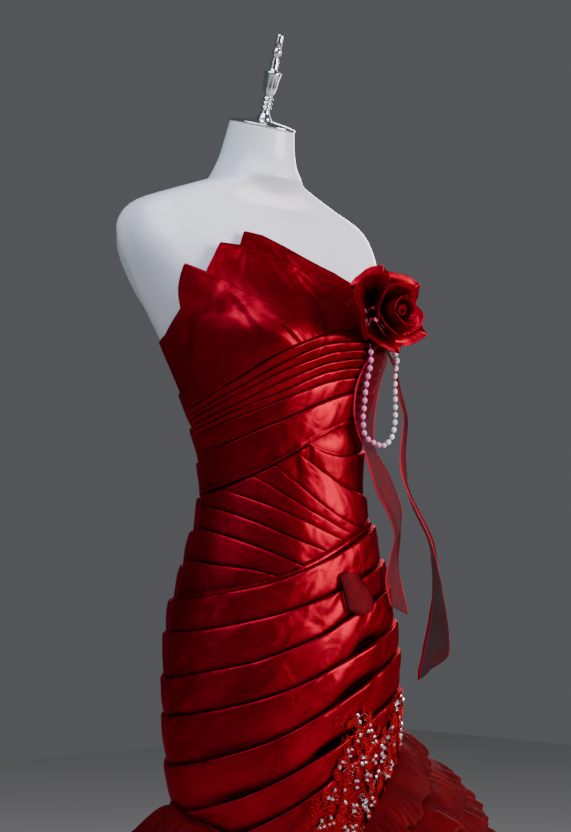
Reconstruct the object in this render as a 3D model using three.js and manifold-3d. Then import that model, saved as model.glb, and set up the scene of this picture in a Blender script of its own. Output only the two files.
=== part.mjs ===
// Mermaid prom dress on a limbless display form: millimetres, +Z up, the front faces -Y,
// +X is the wearer's left, and the origin is the middle of the stand's foot on the floor.
// A place on the garment is an angle round the figure (0 in front, positive to the wearer's
// left) and a height; distance out from the figure's skin is the third number.
import * as THREE from "three";
import { mergeVertices } from "three/addons/utils/BufferGeometryUtils.js";
import Module from "manifold-3d";

// Driving dimensions
const SATIN = 1.5; // wall of the satin panels
const ORGANZA = 1.1; // wall of the skirt and its ruffles
const GAP = 0.4; // kept between neighbouring pieces
const EASE = 2; // between the form and the cloth that touches it
const OVERLAY = 4.8; // where panels that lap over others start
const LAP = 12; // how far panels run under their neighbours
const FOLD_HEIGHT = 5; // how far the edge of a fold stands up
const RIGHT_SEAM = -100; // side seams and the closure, as angles
const LEFT_SEAM = 95;
const BACK_CENTRE = 180;
const SEAM_GAP = 0.3; // each side of a seam, as an angle
const HEM_CLEAR = 3; // the hem hangs just above the floor
const FORM_BOTTOM = 760;
const HEM_SPREAD = 385; // how much wider the hem is than the skirt seam, as a radius
const RUFFLE_COLUMNS = 56;
const POLE_RADIUS = 12;
const BASE_RADIUS = 150;
const BASE_HEIGHT = 10;
const NECK_LEAN = 18; // degrees that the neck cap faces forward
const DEGREE = Math.PI / 180;

// The figure, a row for each level: height, how far back its middle lies, half width, depth
// in front of and behind the middle, and how square the oval is (2 is an ellipse).
const FIGURE = [
  { z: 560, back: 0, halfWidth: 140, front: 104, rear: 104, square: 2 },
  { z: 620, back: 0, halfWidth: 147, front: 107, rear: 107, square: 2 },
  { z: 680, back: 0, halfWidth: 154, front: 111, rear: 111, square: 2 },
  { z: 740, back: 0, halfWidth: 160, front: 116, rear: 116, square: 2 },
  { z: 800, back: 0, halfWidth: 163, front: 119, rear: 120, square: 2 },
  { z: 880, back: 0, halfWidth: 161, front: 116, rear: 118, square: 2 },
  { z: 950, back: 0, halfWidth: 147, front: 107, rear: 110, square: 2 },
  { z: 1000, back: 0, halfWidth: 131, front: 99, rear: 100, square: 2 },
  { z: 1040, back: 0, halfWidth: 119, front: 92, rear: 91, square: 2 },
  { z: 1080, back: 2, halfWidth: 113, front: 87, rear: 86, square: 2 },
  { z: 1130, back: 7, halfWidth: 117, front: 90, rear: 88, square: 2 },
  { z: 1180, back: 14, halfWidth: 128, front: 97, rear: 93, square: 2.05 },
  { z: 1240, back: 27, halfWidth: 146, front: 104, rear: 100, square: 2.15 },
  { z: 1290, back: 42, halfWidth: 162, front: 104, rear: 98, square: 2.35 },
  { z: 1335, back: 56, halfWidth: 184, front: 98, rear: 94, square: 2.7 },
  { z: 1385, back: 67, halfWidth: 204, front: 84, rear: 84, square: 2.9 },
  { z: 1422, back: 70, halfWidth: 204, front: 68, rear: 76, square: 2.8 },
  { z: 1446, back: 69, halfWidth: 188, front: 56, rear: 66, square: 2.7 },
  { z: 1462, back: 67, halfWidth: 154, front: 52, rear: 60, square: 2.5 },
  { z: 1475, back: 64, halfWidth: 116, front: 52, rear: 58, square: 2.3 },
  { z: 1490, back: 60, halfWidth: 80, front: 54, rear: 57, square: 2.1 },
];

// The neck above the figure, whose rings lean forward by a growing angle.
const NECK = [
  { z: 1502, back: 57, radius: 61, lean: 6 },
  { z: 1518, back: 54, radius: 54, lean: 11 },
  { z: 1542, back: 50, radius: 48.5, lean: 15 },
  { z: 1568, back: 44, radius: 44.5, lean: NECK_LEAN },
];

// A fold line climbs from the right side seam to the left one: its heights at the right
// seam, just right of the middle of the front, and at the left seam.
const BUST_BAND = [
  { right: 1169, middle: 1263, left: 1268 },
  { right: 1163, middle: 1250, left: 1259 },
  { right: 1157, middle: 1238, left: 1250 },
  { right: 1151, middle: 1225, left: 1241 },
  { right: 1145, middle: 1213, left: 1232 },
  { right: 1139, middle: 1201, left: 1222 },
  { right: 1114, middle: 1178, left: 1204 },
];
const BAND_EDGE = { right: 1066, middle: 1135, left: 1172 };
const WAIST_CROSS = [
  { right: 1200, middle: 1122, left: 1130 },
  { right: 1191, middle: 1097, left: 1062 },
  { right: 1162, middle: 1053, left: 1012 },
  { right: 1114, middle: 1034, left: 1000 },
  { right: 1076, middle: 1017, left: 985 },
  { right: 1049, middle: 992, left: 966 },
  { right: 1021, middle: 963, left: 945 },
  { right: 980, middle: 945, left: 930 },
];
const HIP_WRAP = [
  { right: 928, middle: 980, left: 1032 },
  { right: 888, middle: 936, left: 984 },
  { right: 832, middle: 894, left: 952 },
  { right: 784, middle: 846, left: 905 },
  { right: 723, middle: 799, left: 868 },
  { right: 664, middle: 748, left: 818 },
  { right: 621, middle: 709, left: 790 },
];
const BACK_BODICE = [
  { right: 1196, middle: 1206, left: 1212 },
  { right: 1150, middle: 1166, left: 1180 },
  { right: 1105, middle: 1126, left: 1146 },
  { right: 1060, middle: 1086, left: 1110 },
  { right: 1016, middle: 1046, left: 1074 },
  { right: 972, middle: 1010, left: 1052 },
];
const SKIRT_SEAM = { right: 675, middle: 612, left: 771 };

// Upper edges of the panels over the bust, from the right arm round to the left.
const NECKLINE = [
  { angle: -46, z: 1382 },
  { angle: -43, z: 1407 },
  { angle: -30, z: 1404 },
  { angle: -5, z: 1387 },
  { angle: 29, z: 1364 },
  { angle: 48, z: 1345 },
  { angle: 70, z: 1312 },
  { angle: LEFT_SEAM, z: 1280 },
];
const SECOND_FOLD = [
  { angle: -60, z: 1346 },
  { angle: -57, z: 1364 },
  { angle: -54, z: 1386 },
  { angle: -45, z: 1385 },
  { angle: -29, z: 1379 },
  { angle: -12, z: 1368 },
  { angle: 6, z: 1346 },
  { angle: 24, z: 1318 },
];
const THIRD_FOLD = [
  { angle: RIGHT_SEAM, z: 1262 },
  { angle: -91, z: 1270 },
  { angle: -83, z: 1284 },
  { angle: -75, z: 1299 },
  { angle: -71, z: 1324 },
  { angle: -66, z: 1354 },
  { angle: -55, z: 1337 },
  { angle: -44, z: 1316 },
  { angle: -20, z: 1292 },
  { angle: -4, z: 1281 },
];
const BACK_TOP = [
  { angle: LEFT_SEAM, z: 1280 },
  { angle: 125, z: 1250 },
  { angle: BACK_CENTRE, z: 1236 },
  { angle: 235, z: 1250 },
  { angle: 260, z: 1262 },
];

// The ruffles sewn round the top of the skirt: how far below the skirt seam each starts and
// ends, and how far out from the seam its hem stands.
const RUFFLES = [
  { top: 3, hem: 40, out: 47 },
  { top: 40, hem: 76, out: 95 },
  { top: 68, hem: 104, out: 122 },
  { top: 97, hem: 133, out: 140 },
];

// Colours and finish
const MATERIALS = {
  satin: new THREE.MeshStandardMaterial({ color: 0x8e0a1c, roughness: 0.32 }),
  organza: new THREE.MeshStandardMaterial({ color: 0x7a0a12, roughness: 0.6 }),
  lace: new THREE.MeshStandardMaterial({ color: 0xb3121a, roughness: 0.7 }),
  pearl: new THREE.MeshStandardMaterial({ color: 0xf3ecef, roughness: 0.18 }),
  shell: new THREE.MeshStandardMaterial({ color: 0xe9eaee, roughness: 0.35 }),
  chrome: new THREE.MeshStandardMaterial({ color: 0xc9ccd2, roughness: 0.12, metalness: 1 }),
};

const dress = new THREE.Group();

function addPiece(name, geometry, material) {
  const mesh = new THREE.Mesh(geometry, MATERIALS[material]);
  mesh.name = name;
  dress.add(mesh);
  return mesh;
}

// Smooth curve through a table's column, by height or by angle.
function along(table, key, place, column) {
  const last = table.length - 1;
  if (place <= table[0][key]) return table[0][column];
  if (place >= table[last][key]) return table[last][column];
  let i = 0;
  while (place > table[i + 1][key]) i += 1;
  const before = table[Math.max(0, i - 1)];
  const from = table[i];
  const to = table[i + 1];
  const after = table[Math.min(last, i + 2)];
  const step = to[key] - from[key];
  const u = (place - from[key]) / step;
  const slopeFrom = ((to[column] - before[column]) / (to[key] - before[key])) * step;
  const slopeTo = ((after[column] - from[column]) / (after[key] - from[key])) * step;
  return (
    (2 * u ** 3 - 3 * u ** 2 + 1) * from[column] +
    (u ** 3 - 2 * u ** 2 + u) * slopeFrom +
    (3 * u ** 2 - 2 * u ** 3) * to[column] +
    (u ** 3 - u ** 2) * slopeTo
  );
}

// Straight lines through a table, for edges with corners.
function edgeHeight(table, angle) {
  const last = table.length - 1;
  if (angle <= table[0].angle) return table[0].z;
  if (angle >= table[last].angle) return table[last].z;
  let i = 0;
  while (angle > table[i + 1].angle) i += 1;
  const share = (angle - table[i].angle) / (table[i + 1].angle - table[i].angle);
  return table[i].z + share * (table[i + 1].z - table[i].z);
}

const mix = (a, b, share) => a + (b - a) * share;
const smooth = (share) => {
  const t = Math.min(1, Math.max(0, share));
  return t * t * (3 - 2 * t);
};

// Distance from the figure's middle to its skin, with the two cups of the bust.
const CUP = { angle: 33, width: 27, z: 1272, height: 46, depth: 30 };

function skinRadius(angle, z) {
  const turn = angle * DEGREE;
  const depth = along(FIGURE, "z", z, Math.cos(turn) > 0 ? "front" : "rear");
  const square = along(FIGURE, "z", z, "square");
  const across = Math.abs(Math.sin(turn)) / along(FIGURE, "z", z, "halfWidth");
  const oval = (across ** square + (Math.abs(Math.cos(turn)) / depth) ** square) ** (-1 / square);
  const level = Math.exp(-(((z - CUP.z) / CUP.height) ** 2));
  const signed = angle > 180 ? angle - 360 : angle;
  const cups = [CUP.angle, -CUP.angle].map((a) => Math.exp(-(((signed - a) / CUP.width) ** 2)));
  return oval + CUP.depth * level * (cups[0] + cups[1]);
}

function placeAt(angle, z, radius) {
  const turn = angle * DEGREE;
  const back = along(FIGURE, "z", z, "back");
  return new THREE.Vector3(radius * Math.sin(turn), back - radius * Math.cos(turn), z);
}

const onFigure = (angle, z, out) => placeAt(angle, z, skinRadius(angle, z) + out);

// How far a fold line has climbed at an angle: -1 at its lowest, on the right, and 1 at its
// highest, on the left. Behind the figure it comes down again.
function climb(angle) {
  const front = angle > 250 ? angle - 360 : angle < -110 ? angle + 360 : angle;
  if (front <= 90) return Math.sin(0.9 * (front + 10) * DEGREE);
  return Math.cos(Math.PI * ((front - 90) / 160) ** 1.5);
}

function lineHeight(line, angle) {
  const s = climb(angle);
  const slope = (line.left - line.right) / 2;
  const bow = (line.left + line.right) / 2 - line.middle;
  return line.middle + slope * s + bow * s * s;
}

// A closed solid from an outer and an inner grid of points, each a list of rows. The two
// grids have the same columns, and the inner one may have fewer rows. A ring closes on itself.
// Both faces split their quads along the same diagonal, so that a thin wall can't cross itself.
function wall(outer, inner, ring = false) {
  const position = [];
  const index = [];
  const columns = outer[0].length;
  const number = (grid, start) => grid.map((row, i) => row.map((p, j) => start + i * columns + j));
  const outerIds = number(outer, 0);
  const innerIds = number(inner, outer.length * columns);
  for (const row of [...outer, ...inner]) for (const p of row) position.push(p.x, p.y, p.z);
  const spans = ring ? columns : columns - 1;
  const next = (j) => (j + 1) % columns;
  const quad = (a, b, c, d) => index.push(a, b, c, a, c, d);
  const skin = (ids, flip) => {
    for (let i = 0; i < ids.length - 1; i += 1) {
      for (let j = 0; j < spans; j += 1) {
        const [a, b, c, d] = [ids[i][j], ids[i][next(j)], ids[i + 1][next(j)], ids[i + 1][j]];
        if (flip) quad(a, d, c, b);
        else quad(a, b, c, d);
      }
    }
  };
  skin(outerIds, false);
  skin(innerIds, true);
  const lastOuter = outerIds[outerIds.length - 1];
  const lastInner = innerIds[innerIds.length - 1];
  for (let j = 0; j < spans; j += 1) {
    quad(outerIds[0][next(j)], outerIds[0][j], innerIds[0][j], innerIds[0][next(j)]);
    quad(lastOuter[j], lastOuter[next(j)], lastInner[next(j)], lastInner[j]);
  }
  const side = (column, flip) => {
    const a = outerIds.map((row) => row[column]);
    const b = innerIds.map((row) => row[column]);
    let i = 0;
    let j = 0;
    while (i < a.length - 1 || j < b.length - 1) {
      const takeOuter = j >= b.length - 1 || (i < a.length - 1 && i / (a.length - 1) <= j / (b.length - 1));
      const tri = takeOuter ? [a[i], a[i + 1], b[j]] : [a[i], b[j + 1], b[j]];
      index.push(...(flip ? tri.reverse() : tri));
      if (takeOuter) i += 1;
      else j += 1;
    }
  };
  if (!ring) {
    side(0, false);
    side(columns - 1, true);
  }
  return outwards(position, index);
}

// Turns the faces round if they point inwards.
function outwards(position, index) {
  let volume = 0;
  const corner = (i) => new THREE.Vector3().fromArray(position, 3 * i);
  for (let i = 0; i < index.length; i += 3) {
    volume += corner(index[i]).dot(corner(index[i + 1]).cross(corner(index[i + 2])));
  }
  const geometry = new THREE.BufferGeometry();
  geometry.setAttribute("position", new THREE.Float32BufferAttribute(position, 3));
  geometry.setIndex(volume < 0 ? index.slice().reverse() : index);
  return geometry;
}

const spread = (from, to, count) =>
  Array.from({ length: count + 1 }, (_, i) => mix(from, to, i / count));

// Rows of a pleated panel from its top edge down, each with a height at every angle and a
// share of the fold height. Each fold's upper edge stands up and the cloth above dips under
// it. A panel that runs under its neighbours keeps a flat strip as deep as the lap.
const FOLD_STEP = 2.2; // the dip just above a fold's edge
const ROW_GAP = 0.35; // least distance between rows
const FADE = 9; // how soon folds flatten beside a lap

function pleatedRows(panel) {
  const { lines, top, bottom } = panel;
  const lap = panel.lap || 0;
  const rows = [{ height: top, out: 0 }];
  if (lap) rows.push({ height: (a) => top(a) - lap, out: 0 });
  for (const line of lines) {
    const edge = (a) => lineHeight(line, a);
    rows.push({ height: (a) => edge(a) + FOLD_STEP, out: 0 });
    rows.push({ height: edge, out: 1 });
    rows.push({ line, out: 0.55 });
  }
  if (lap) rows.push({ height: (a) => bottom(a) + lap, out: 0 });
  rows.push({ height: bottom, out: 0 });
  rows.forEach((row, i) => {
    if (row.line) row.height = (a) => mix(lineHeight(row.line, a), rows[i + 1].height(a), 0.5);
  });
  return rows;
}

// The rows' heights at an angle, each kept a little under the one above, so that folds that
// would run past the panel's edges close up along them.
function heightsAt(rows, angle, lap) {
  const skip = lap ? 1 : 0;
  const last = rows.length - 1;
  const top = rows[skip].height(angle);
  const bottom = rows[last - skip].height(angle);
  return rows.map((row, i) => {
    if (i < skip || i > last - skip) return row.height(angle);
    const highest = top - (i - skip) * ROW_GAP;
    const lowest = bottom + (last - skip - i) * ROW_GAP;
    return Math.min(highest, Math.max(lowest, row.height(angle)));
  });
}

function pleatedPanel(panel) {
  const lap = panel.lap || 0;
  const rows = pleatedRows(panel);
  const outer = rows.map(() => []);
  const inner = Array.from({ length: panel.innerRows + 1 }, () => []);
  for (const angle of panel.angles) {
    const heights = heightsAt(rows, angle, lap);
    const top = heights[0];
    const bottom = heights[heights.length - 1];
    rows.forEach((row, i) => {
      const z = heights[i];
      const calm = lap ? smooth((Math.min(top - z, z - bottom) - lap) / FADE) : 1;
      outer[i].push(onFigure(angle, z, panel.out + SATIN + row.out * FOLD_HEIGHT * calm));
    });
    inner.forEach((line, i) => {
      line.push(onFigure(angle, mix(top, bottom, i / panel.innerRows), panel.out));
    });
  }
  addPiece(panel.name, wall(outer, inner), "satin");
}

// Display form: figure, neck, collar, stand and finial
const FORM_COLUMNS = 36;

function makeForm() {
  const levels = [FORM_BOTTOM, 820, 880, 950, 1000, 1040, 1080, 1130, 1180, 1220, 1250, 1272, 1295];
  levels.push(1320, 1350, 1385, 1415, 1436, 1452, 1465, 1477, 1490);
  const turns = Array.from({ length: FORM_COLUMNS }, (_, j) => (360 * j) / FORM_COLUMNS);
  const rings = levels.map((z) => turns.map((a) => onFigure(a > 180 ? a - 360 : a, z, 0)));
  for (const ring of NECK) rings.push(turns.map((a) => leaningPoint(a, ring)));
  const position = [];
  const index = [];
  rings.flat().forEach((p) => position.push(p.x, p.y, p.z));
  for (let i = 0; i < rings.length - 1; i += 1) {
    for (let j = 0; j < FORM_COLUMNS; j += 1) {
      const k = (j + 1) % FORM_COLUMNS;
      const a = i * FORM_COLUMNS;
      index.push(a + j, a + k, a + FORM_COLUMNS + k, a + j, a + FORM_COLUMNS + k, a + FORM_COLUMNS + j);
    }
  }
  const top = (rings.length - 1) * FORM_COLUMNS;
  for (let j = 1; j < FORM_COLUMNS - 1; j += 1) {
    index.push(0, j + 1, j);
    index.push(top, top + j, top + j + 1);
  }
  addPiece("form_torso", outwards(position, index), "shell");
}

function leaningPoint(angle, ring) {
  const turn = angle * DEGREE;
  const forward = ring.radius * Math.cos(turn);
  const y = ring.back - forward * Math.cos(ring.lean * DEGREE);
  const z = ring.z - forward * Math.sin(ring.lean * DEGREE);
  return new THREE.Vector3(ring.radius * Math.sin(turn), y, z);
}

// A turned piece from a profile of [radius, height] pairs that starts and ends on its axis,
// or closes on itself.
function turned(name, profile, segments, material) {
  const points = profile.map(([r, h]) => new THREE.Vector2(r, h));
  const geometry = new THREE.LatheGeometry(points, segments);
  geometry.rotateX(Math.PI / 2);
  geometry.deleteAttribute("normal");
  geometry.deleteAttribute("uv");
  const merged = mergeVertices(geometry, 1e-3);
  const kept = [];
  for (let i = 0; i < merged.index.count; i += 3) {
    const [a, b, c] = [0, 1, 2].map((k) => merged.index.getX(i + k));
    if (a !== b && b !== c && a !== c) kept.push(a, b, c);
  }
  return addPiece(name, outwards(Array.from(merged.attributes.position.array), kept), material);
}

// The finial's radii, from the cap upwards: flared foot, ringed collar, tulip cup, ball, tip
const FINIAL = [
  { h: 0, r: 0 },
  { h: 0, r: 10.5 },
  { h: 3, r: 9.5 },
  { h: 12, r: 5.2 },
  { h: 16, r: 7.8 },
  { h: 19, r: 5.6 },
  { h: 22, r: 7.8 },
  { h: 25, r: 5.6 },
  { h: 28, r: 7.8 },
  { h: 31, r: 5 },
  { h: 42, r: 9.6 },
  { h: 62, r: 12 },
  { h: 64, r: 12 },
  { h: 66, r: 5.5 },
  { h: 78, r: 5.6 },
  { h: 85, r: 3.8 },
  { h: 88, r: 6.2 },
  { h: 93, r: 6.4 },
  { h: 97, r: 3.8 },
  { h: 99, r: 4.6 },
  { h: 112, r: 4.8 },
  { h: 115, r: 3 },
  { h: 115.5, r: 0 },
];
const CAP_HEIGHT = 9;

function makeNeckTop() {
  const rim = NECK[NECK.length - 1];
  const lean = new THREE.Vector3(0, -Math.sin(NECK_LEAN * DEGREE), Math.cos(NECK_LEAN * DEGREE));
  const seat = new THREE.Vector3(0, rim.back, rim.z).addScaledVector(lean, GAP);
  const capRadius = rim.radius + 1;
  const capProfile = [[0, 0], [capRadius, 0], [capRadius, 3], [30, 6.5], [12, CAP_HEIGHT], [0, CAP_HEIGHT]];
  const cap = turned("neck_cap", capProfile, 32, "chrome");
  const finialProfile = FINIAL.map((row) => [row.r, row.h]);
  const finial = turned("finial", finialProfile, 14, "chrome");
  for (const piece of [cap, finial]) piece.rotation.x = NECK_LEAN * DEGREE;
  cap.position.copy(seat);
  finial.position.copy(seat).addScaledVector(lean, CAP_HEIGHT + GAP);
}

function makeStand() {
  const hub = BASE_HEIGHT + 34;
  const socket = POLE_RADIUS + GAP;
  const baseProfile = [[0, 0], [BASE_RADIUS, 0], [BASE_RADIUS, 5], [BASE_RADIUS - 8, BASE_HEIGHT]];
  baseProfile.push([26, BASE_HEIGHT], [21, hub], [socket, hub], [socket, BASE_HEIGHT], [0, BASE_HEIGHT]);
  turned("stand_base", baseProfile, 32, "chrome");
  const poleFoot = BASE_HEIGHT + GAP;
  const poleTop = FORM_BOTTOM - GAP;
  const poleProfile = [[0, poleFoot], [POLE_RADIUS, poleFoot], [POLE_RADIUS, poleTop], [0, poleTop]];
  turned("stand_pole", poleProfile, 16, "chrome");
  const collarFoot = FORM_BOTTOM - 30;
  const collar = [[socket, collarFoot], [22, collarFoot], [24, poleTop - 6], [44, poleTop - 4]];
  collar.push([44, poleTop], [socket, poleTop], [socket, collarFoot]);
  turned("form_collar", collar, 24, "chrome");
}

// Bodice: three lapped panels over the bust, each standing up at its corner
const BUST_FOLDS = [
  { name: "bust_fold_1", edge: NECKLINE, from: -46, to: LEFT_SEAM, out: EASE, lean: 0.08, rows: 6 },
  { name: "bust_fold_2", edge: SECOND_FOLD, from: -60, to: 24, out: 4.6, lean: 0.12, rows: 4 },
  { name: "bust_fold_3", edge: THIRD_FOLD, from: RIGHT_SEAM, to: -4, out: 8, lean: 0.16, rows: 4 },
];
const STAND_FROM = 1290; // above this the cloth stands away from the chest

// Angles of a panel's columns: one at each corner of its edge, and even ones between them
function columnsAlong(edge) {
  const corners = edge.map((row) => row.angle);
  const [from, to] = [corners[0], corners[corners.length - 1]];
  const even = spread(from, to, Math.round((to - from) / 9));
  const clear = even.filter((a) => corners.every((corner) => Math.abs(a - corner) > 4));
  return [...corners, ...clear].sort((a, b) => a - b);
}

function makeBustFolds() {
  BUST_FOLDS.forEach((fold, k) => {
    const cover = BUST_FOLDS[k + 1];
    const outer = Array.from({ length: fold.rows + 1 }, () => []);
    const inner = Array.from({ length: fold.rows + 1 }, () => []);
    for (const angle of columnsAlong(fold.edge)) {
      const top = edgeHeight(fold.edge, angle);
      const band = lineHeight(BUST_BAND[0], angle) + 6;
      const covered = cover && angle > cover.from && angle < cover.to;
      const hidden = covered ? edgeHeight(cover.edge, angle) - 26 : band;
      const bottom = Math.min(top - 8, Math.max(band, hidden));
      for (let i = 0; i <= fold.rows; i += 1) {
        const z = mix(top, bottom, i / fold.rows);
        const stand = fold.lean * Math.max(0, z - STAND_FROM) + 2.5 * smooth((z - 1290) / 30);
        outer[i].push(onFigure(angle, z, fold.out + SATIN + stand));
        inner[i].push(onFigure(angle, z, fold.out + stand));
      }
    }
    addPiece(fold.name, wall(outer, inner), "satin");
  });
}

function makeFrontPanels() {
  const angles = spread(RIGHT_SEAM + SEAM_GAP, LEFT_SEAM - SEAM_GAP, 20);
  const hipTop = (a) => lineHeight(HIP_WRAP[0], a) + 3;
  const bandFoot = (a) => lineHeight(BAND_EDGE, a);
  pleatedPanel({
    name: "bust_band",
    lines: BUST_BAND,
    top: (a) => lineHeight(BUST_BAND[0], a) + 4,
    bottom: bandFoot,
    angles,
    out: OVERLAY,
    innerRows: 8,
  });
  pleatedPanel({
    name: "waist_cross",
    lines: WAIST_CROSS,
    top: (a) => bandFoot(a) + LAP,
    bottom: (a) => hipTop(a) - LAP,
    lap: LAP + 3,
    angles,
    out: EASE + 0.2,
    innerRows: 6,
  });
  pleatedPanel({
    name: "hip_wrap_front",
    lines: HIP_WRAP,
    top: hipTop,
    bottom: (a) => lineHeight(SKIRT_SEAM, a),
    angles,
    out: OVERLAY,
    innerRows: 8,
  });
}

function makeBackPanels() {
  const halves = [
    { side: "left", from: LEFT_SEAM + SEAM_GAP, to: BACK_CENTRE - ZIP_HALF },
    { side: "right", from: BACK_CENTRE + ZIP_HALF, to: 360 + RIGHT_SEAM - SEAM_GAP },
  ];
  const hipTop = (a) => lineHeight(HIP_WRAP[0], a) + 3;
  for (const half of halves) {
    const angles = spread(half.from, half.to, 9);
    pleatedPanel({
      name: "bodice_back_" + half.side,
      lines: BACK_BODICE,
      top: (a) => edgeHeight(BACK_TOP, a),
      bottom: (a) => hipTop(a) + 1,
      angles,
      out: EASE,
      innerRows: 8,
    });
    pleatedPanel({
      name: "hip_wrap_back_" + half.side,
      lines: HIP_WRAP,
      top: hipTop,
      bottom: (a) => lineHeight(SKIRT_SEAM, a),
      angles,
      out: OVERLAY,
      innerRows: 8,
    });
  }
}

// The closed concealed zip and the seam below it are a narrow strip between the back panels.
const ZIP_HALF = 2; // half the width left for it, as an angle

function makeZip() {
  const foot = lineHeight(SKIRT_SEAM, BACK_CENTRE) + 3;
  const top = edgeHeight(BACK_TOP, BACK_CENTRE) - 4;
  const heights = spread(foot, top, 20);
  const half = 1.4;
  const strip = (out) => heights.map((z) => [-half, half].map((d) => onFigure(BACK_CENTRE + d, z, out)));
  addPiece("back_zip", wall(strip(EASE + 2), strip(EASE)), "satin");
}

// Skirt below the seam: one flared flounce in gores, and ruffles sewn round its top
const FLUTES = RUFFLE_COLUMNS / 4;
const FLUTE_DEPTH = 26;
const RUFFLE_WAVE = 5.5;

function skirtRadius(angle, z) {
  const seam = lineHeight(SKIRT_SEAM, angle);
  const drop = Math.max(0, seam - z);
  const share = drop / seam;
  const flute = FLUTE_DEPTH * share * Math.cos(FLUTES * angle * DEGREE);
  return skinRadius(angle, seam) + OVERLAY + HEM_SPREAD * share ** 0.95 + flute;
}

// Heights of the skirt's rows, measured down from the seam, with one at each ruffle's top
const SKIRT_ROWS = [GAP + 0.9, 40, 68, 97, 190, 320];

function skirtHeights(angle) {
  const seam = lineHeight(SKIRT_SEAM, angle);
  const upper = SKIRT_ROWS.map((drop) => seam - drop);
  const last = upper[upper.length - 1];
  return [...upper, mix(last, HEM_CLEAR, 0.5), HEM_CLEAR];
}

const skirtPoint = (angle, z, out) => {
  const r = skirtRadius(angle, z) + out;
  const turn = angle * DEGREE;
  return new THREE.Vector3(r * Math.sin(turn), -r * Math.cos(turn), z);
};

const GORES = 4;

function makeSkirt() {
  const each = RUFFLE_COLUMNS / GORES;
  for (let g = 0; g < GORES; g += 1) {
    const start = (g * each * 360) / RUFFLE_COLUMNS - 135;
    const angles = spread(start + 0.1, start + 360 / GORES - 0.1, each).map((a) => (a > 250 ? a - 360 : a));
    const rows = SKIRT_ROWS.length + 2;
    const grid = (out) =>
      Array.from({ length: rows }, (_, i) => angles.map((a) => skirtPoint(a, skirtHeights(a)[i], out)));
    const name = ["skirt_right", "skirt_front", "skirt_left", "skirt_back"][g];
    addPiece(name, wall(grid(ORGANZA), grid(0)), "organza");
  }
}

function makeRuffles() {
  const angles = Array.from({ length: RUFFLE_COLUMNS }, (_, j) => (360 * j) / RUFFLE_COLUMNS - 135);
  RUFFLES.forEach((ruffle, k) => {
    const grid = (out) =>
      [0, 0.45, 1].map((u) =>
        angles.map((angle, j) => {
          const seam = lineHeight(SKIRT_SEAM, angle);
          const wave = (j % 2 ? 1 : -1) * RUFFLE_WAVE * u;
          const z = seam - mix(ruffle.top, ruffle.hem, u ** 1.6) + wave + out * u;
          const foot = skirtRadius(angle, seam - ruffle.top) + ORGANZA + GAP;
          const hem = skinRadius(angle, seam) + OVERLAY + ruffle.out;
          const r = mix(foot, hem, u) + out * (1 - 0.5 * u);
          const turn = angle * DEGREE;
          return new THREE.Vector3(r * Math.sin(turn), -r * Math.cos(turn), z);
        }),
      );
    addPiece("ruffle_" + (k + 1), wall(grid(ORGANZA), grid(0), true), "organza");
  });
}

// Fabric rose on the wearer's left bust: three rings of petals round a rolled heart
const ROSE = { angle: 31, z: 1306, out: 37, faces: 10, tall: 0.86, foot: -25.8 };
const PETAL_RINGS = [
  { name: "inner", count: 3, turn: 20, curl: 2.2, rim: 3, profile: [[11.7, 3], [17, 14], [19, 27], [17, 38]] },
  { name: "middle", count: 4, turn: 65, curl: 2.6, rim: 5, profile: [[12, -4], [26, 9], [34, 22], [37, 33]] },
  { name: "outer", count: 5, turn: 46, curl: 4.6, rim: 7, profile: [[12, -11], [36, 1], [47, 9], [55, 17]] },
];
// The outer petals are drawn out further towards the middle of the front.
const DRAWN = { angle: 160, share: 0.2 };
const PETAL_WALL = 1.2;
const PETAL_STEPS = 5;

// A point of the rose: turn round its axis, distance from the axis, height along it.
function roseFrame() {
  const centre = onFigure(ROSE.angle, ROSE.z, ROSE.out);
  const turn = ROSE.faces * DEGREE;
  const axis = new THREE.Vector3(Math.sin(turn), -Math.cos(turn), 0);
  const side = new THREE.Vector3(Math.cos(turn), Math.sin(turn), 0);
  return (angle, radius, height) =>
    centre
      .clone()
      .addScaledVector(axis, height)
      .addScaledVector(side, radius * Math.cos(angle * DEGREE))
      .add(new THREE.Vector3(0, 0, ROSE.tall * radius * Math.sin(angle * DEGREE)));
}

function makeRose() {
  const place = roseFrame();
  for (const ring of PETAL_RINGS) {
    const width = (360 / ring.count) * 1.16;
    for (let k = 0; k < ring.count; k += 1) {
      const centre = ring.turn + (360 * k) / ring.count;
      const grid = (out) =>
        ring.profile.map(([radius, height], i) => {
          const share = i / (ring.profile.length - 1);
          return spread(-1, 1, PETAL_STEPS).map((v) => {
            const narrow = mix(0.8, 1, Math.sin(share * 2.2));
            const point = ring.rim * share * (1 - 1.6 * Math.abs(v) ** 1.5);
            const angle = centre + (v * width * narrow) / 2;
            const curl = ring.curl * mix(0.5, 1, share);
            const drawn = Math.max(0, Math.cos((angle - DRAWN.angle) * DEGREE)) ** 2;
            const reach = ring.name === "outer" ? 1 + DRAWN.share * share * drawn : 1;
            return place(angle, radius * reach + out + curl * v, height + point);
          });
        });
      addPiece("rose_petal_" + ring.name + "_" + (k + 1), wall(grid(PETAL_WALL), grid(0)), "satin");
    }
  }
  const turns = spread(0, 560, 17);
  const roll = (out) =>
    [ROSE.foot, 0, 34].map((height) => turns.map((a) => place(a, 2.6 + a / 90 + out, height)));
  addPiece("rose_heart", wall(roll(PETAL_WALL), roll(0)), "satin");
}

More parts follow.
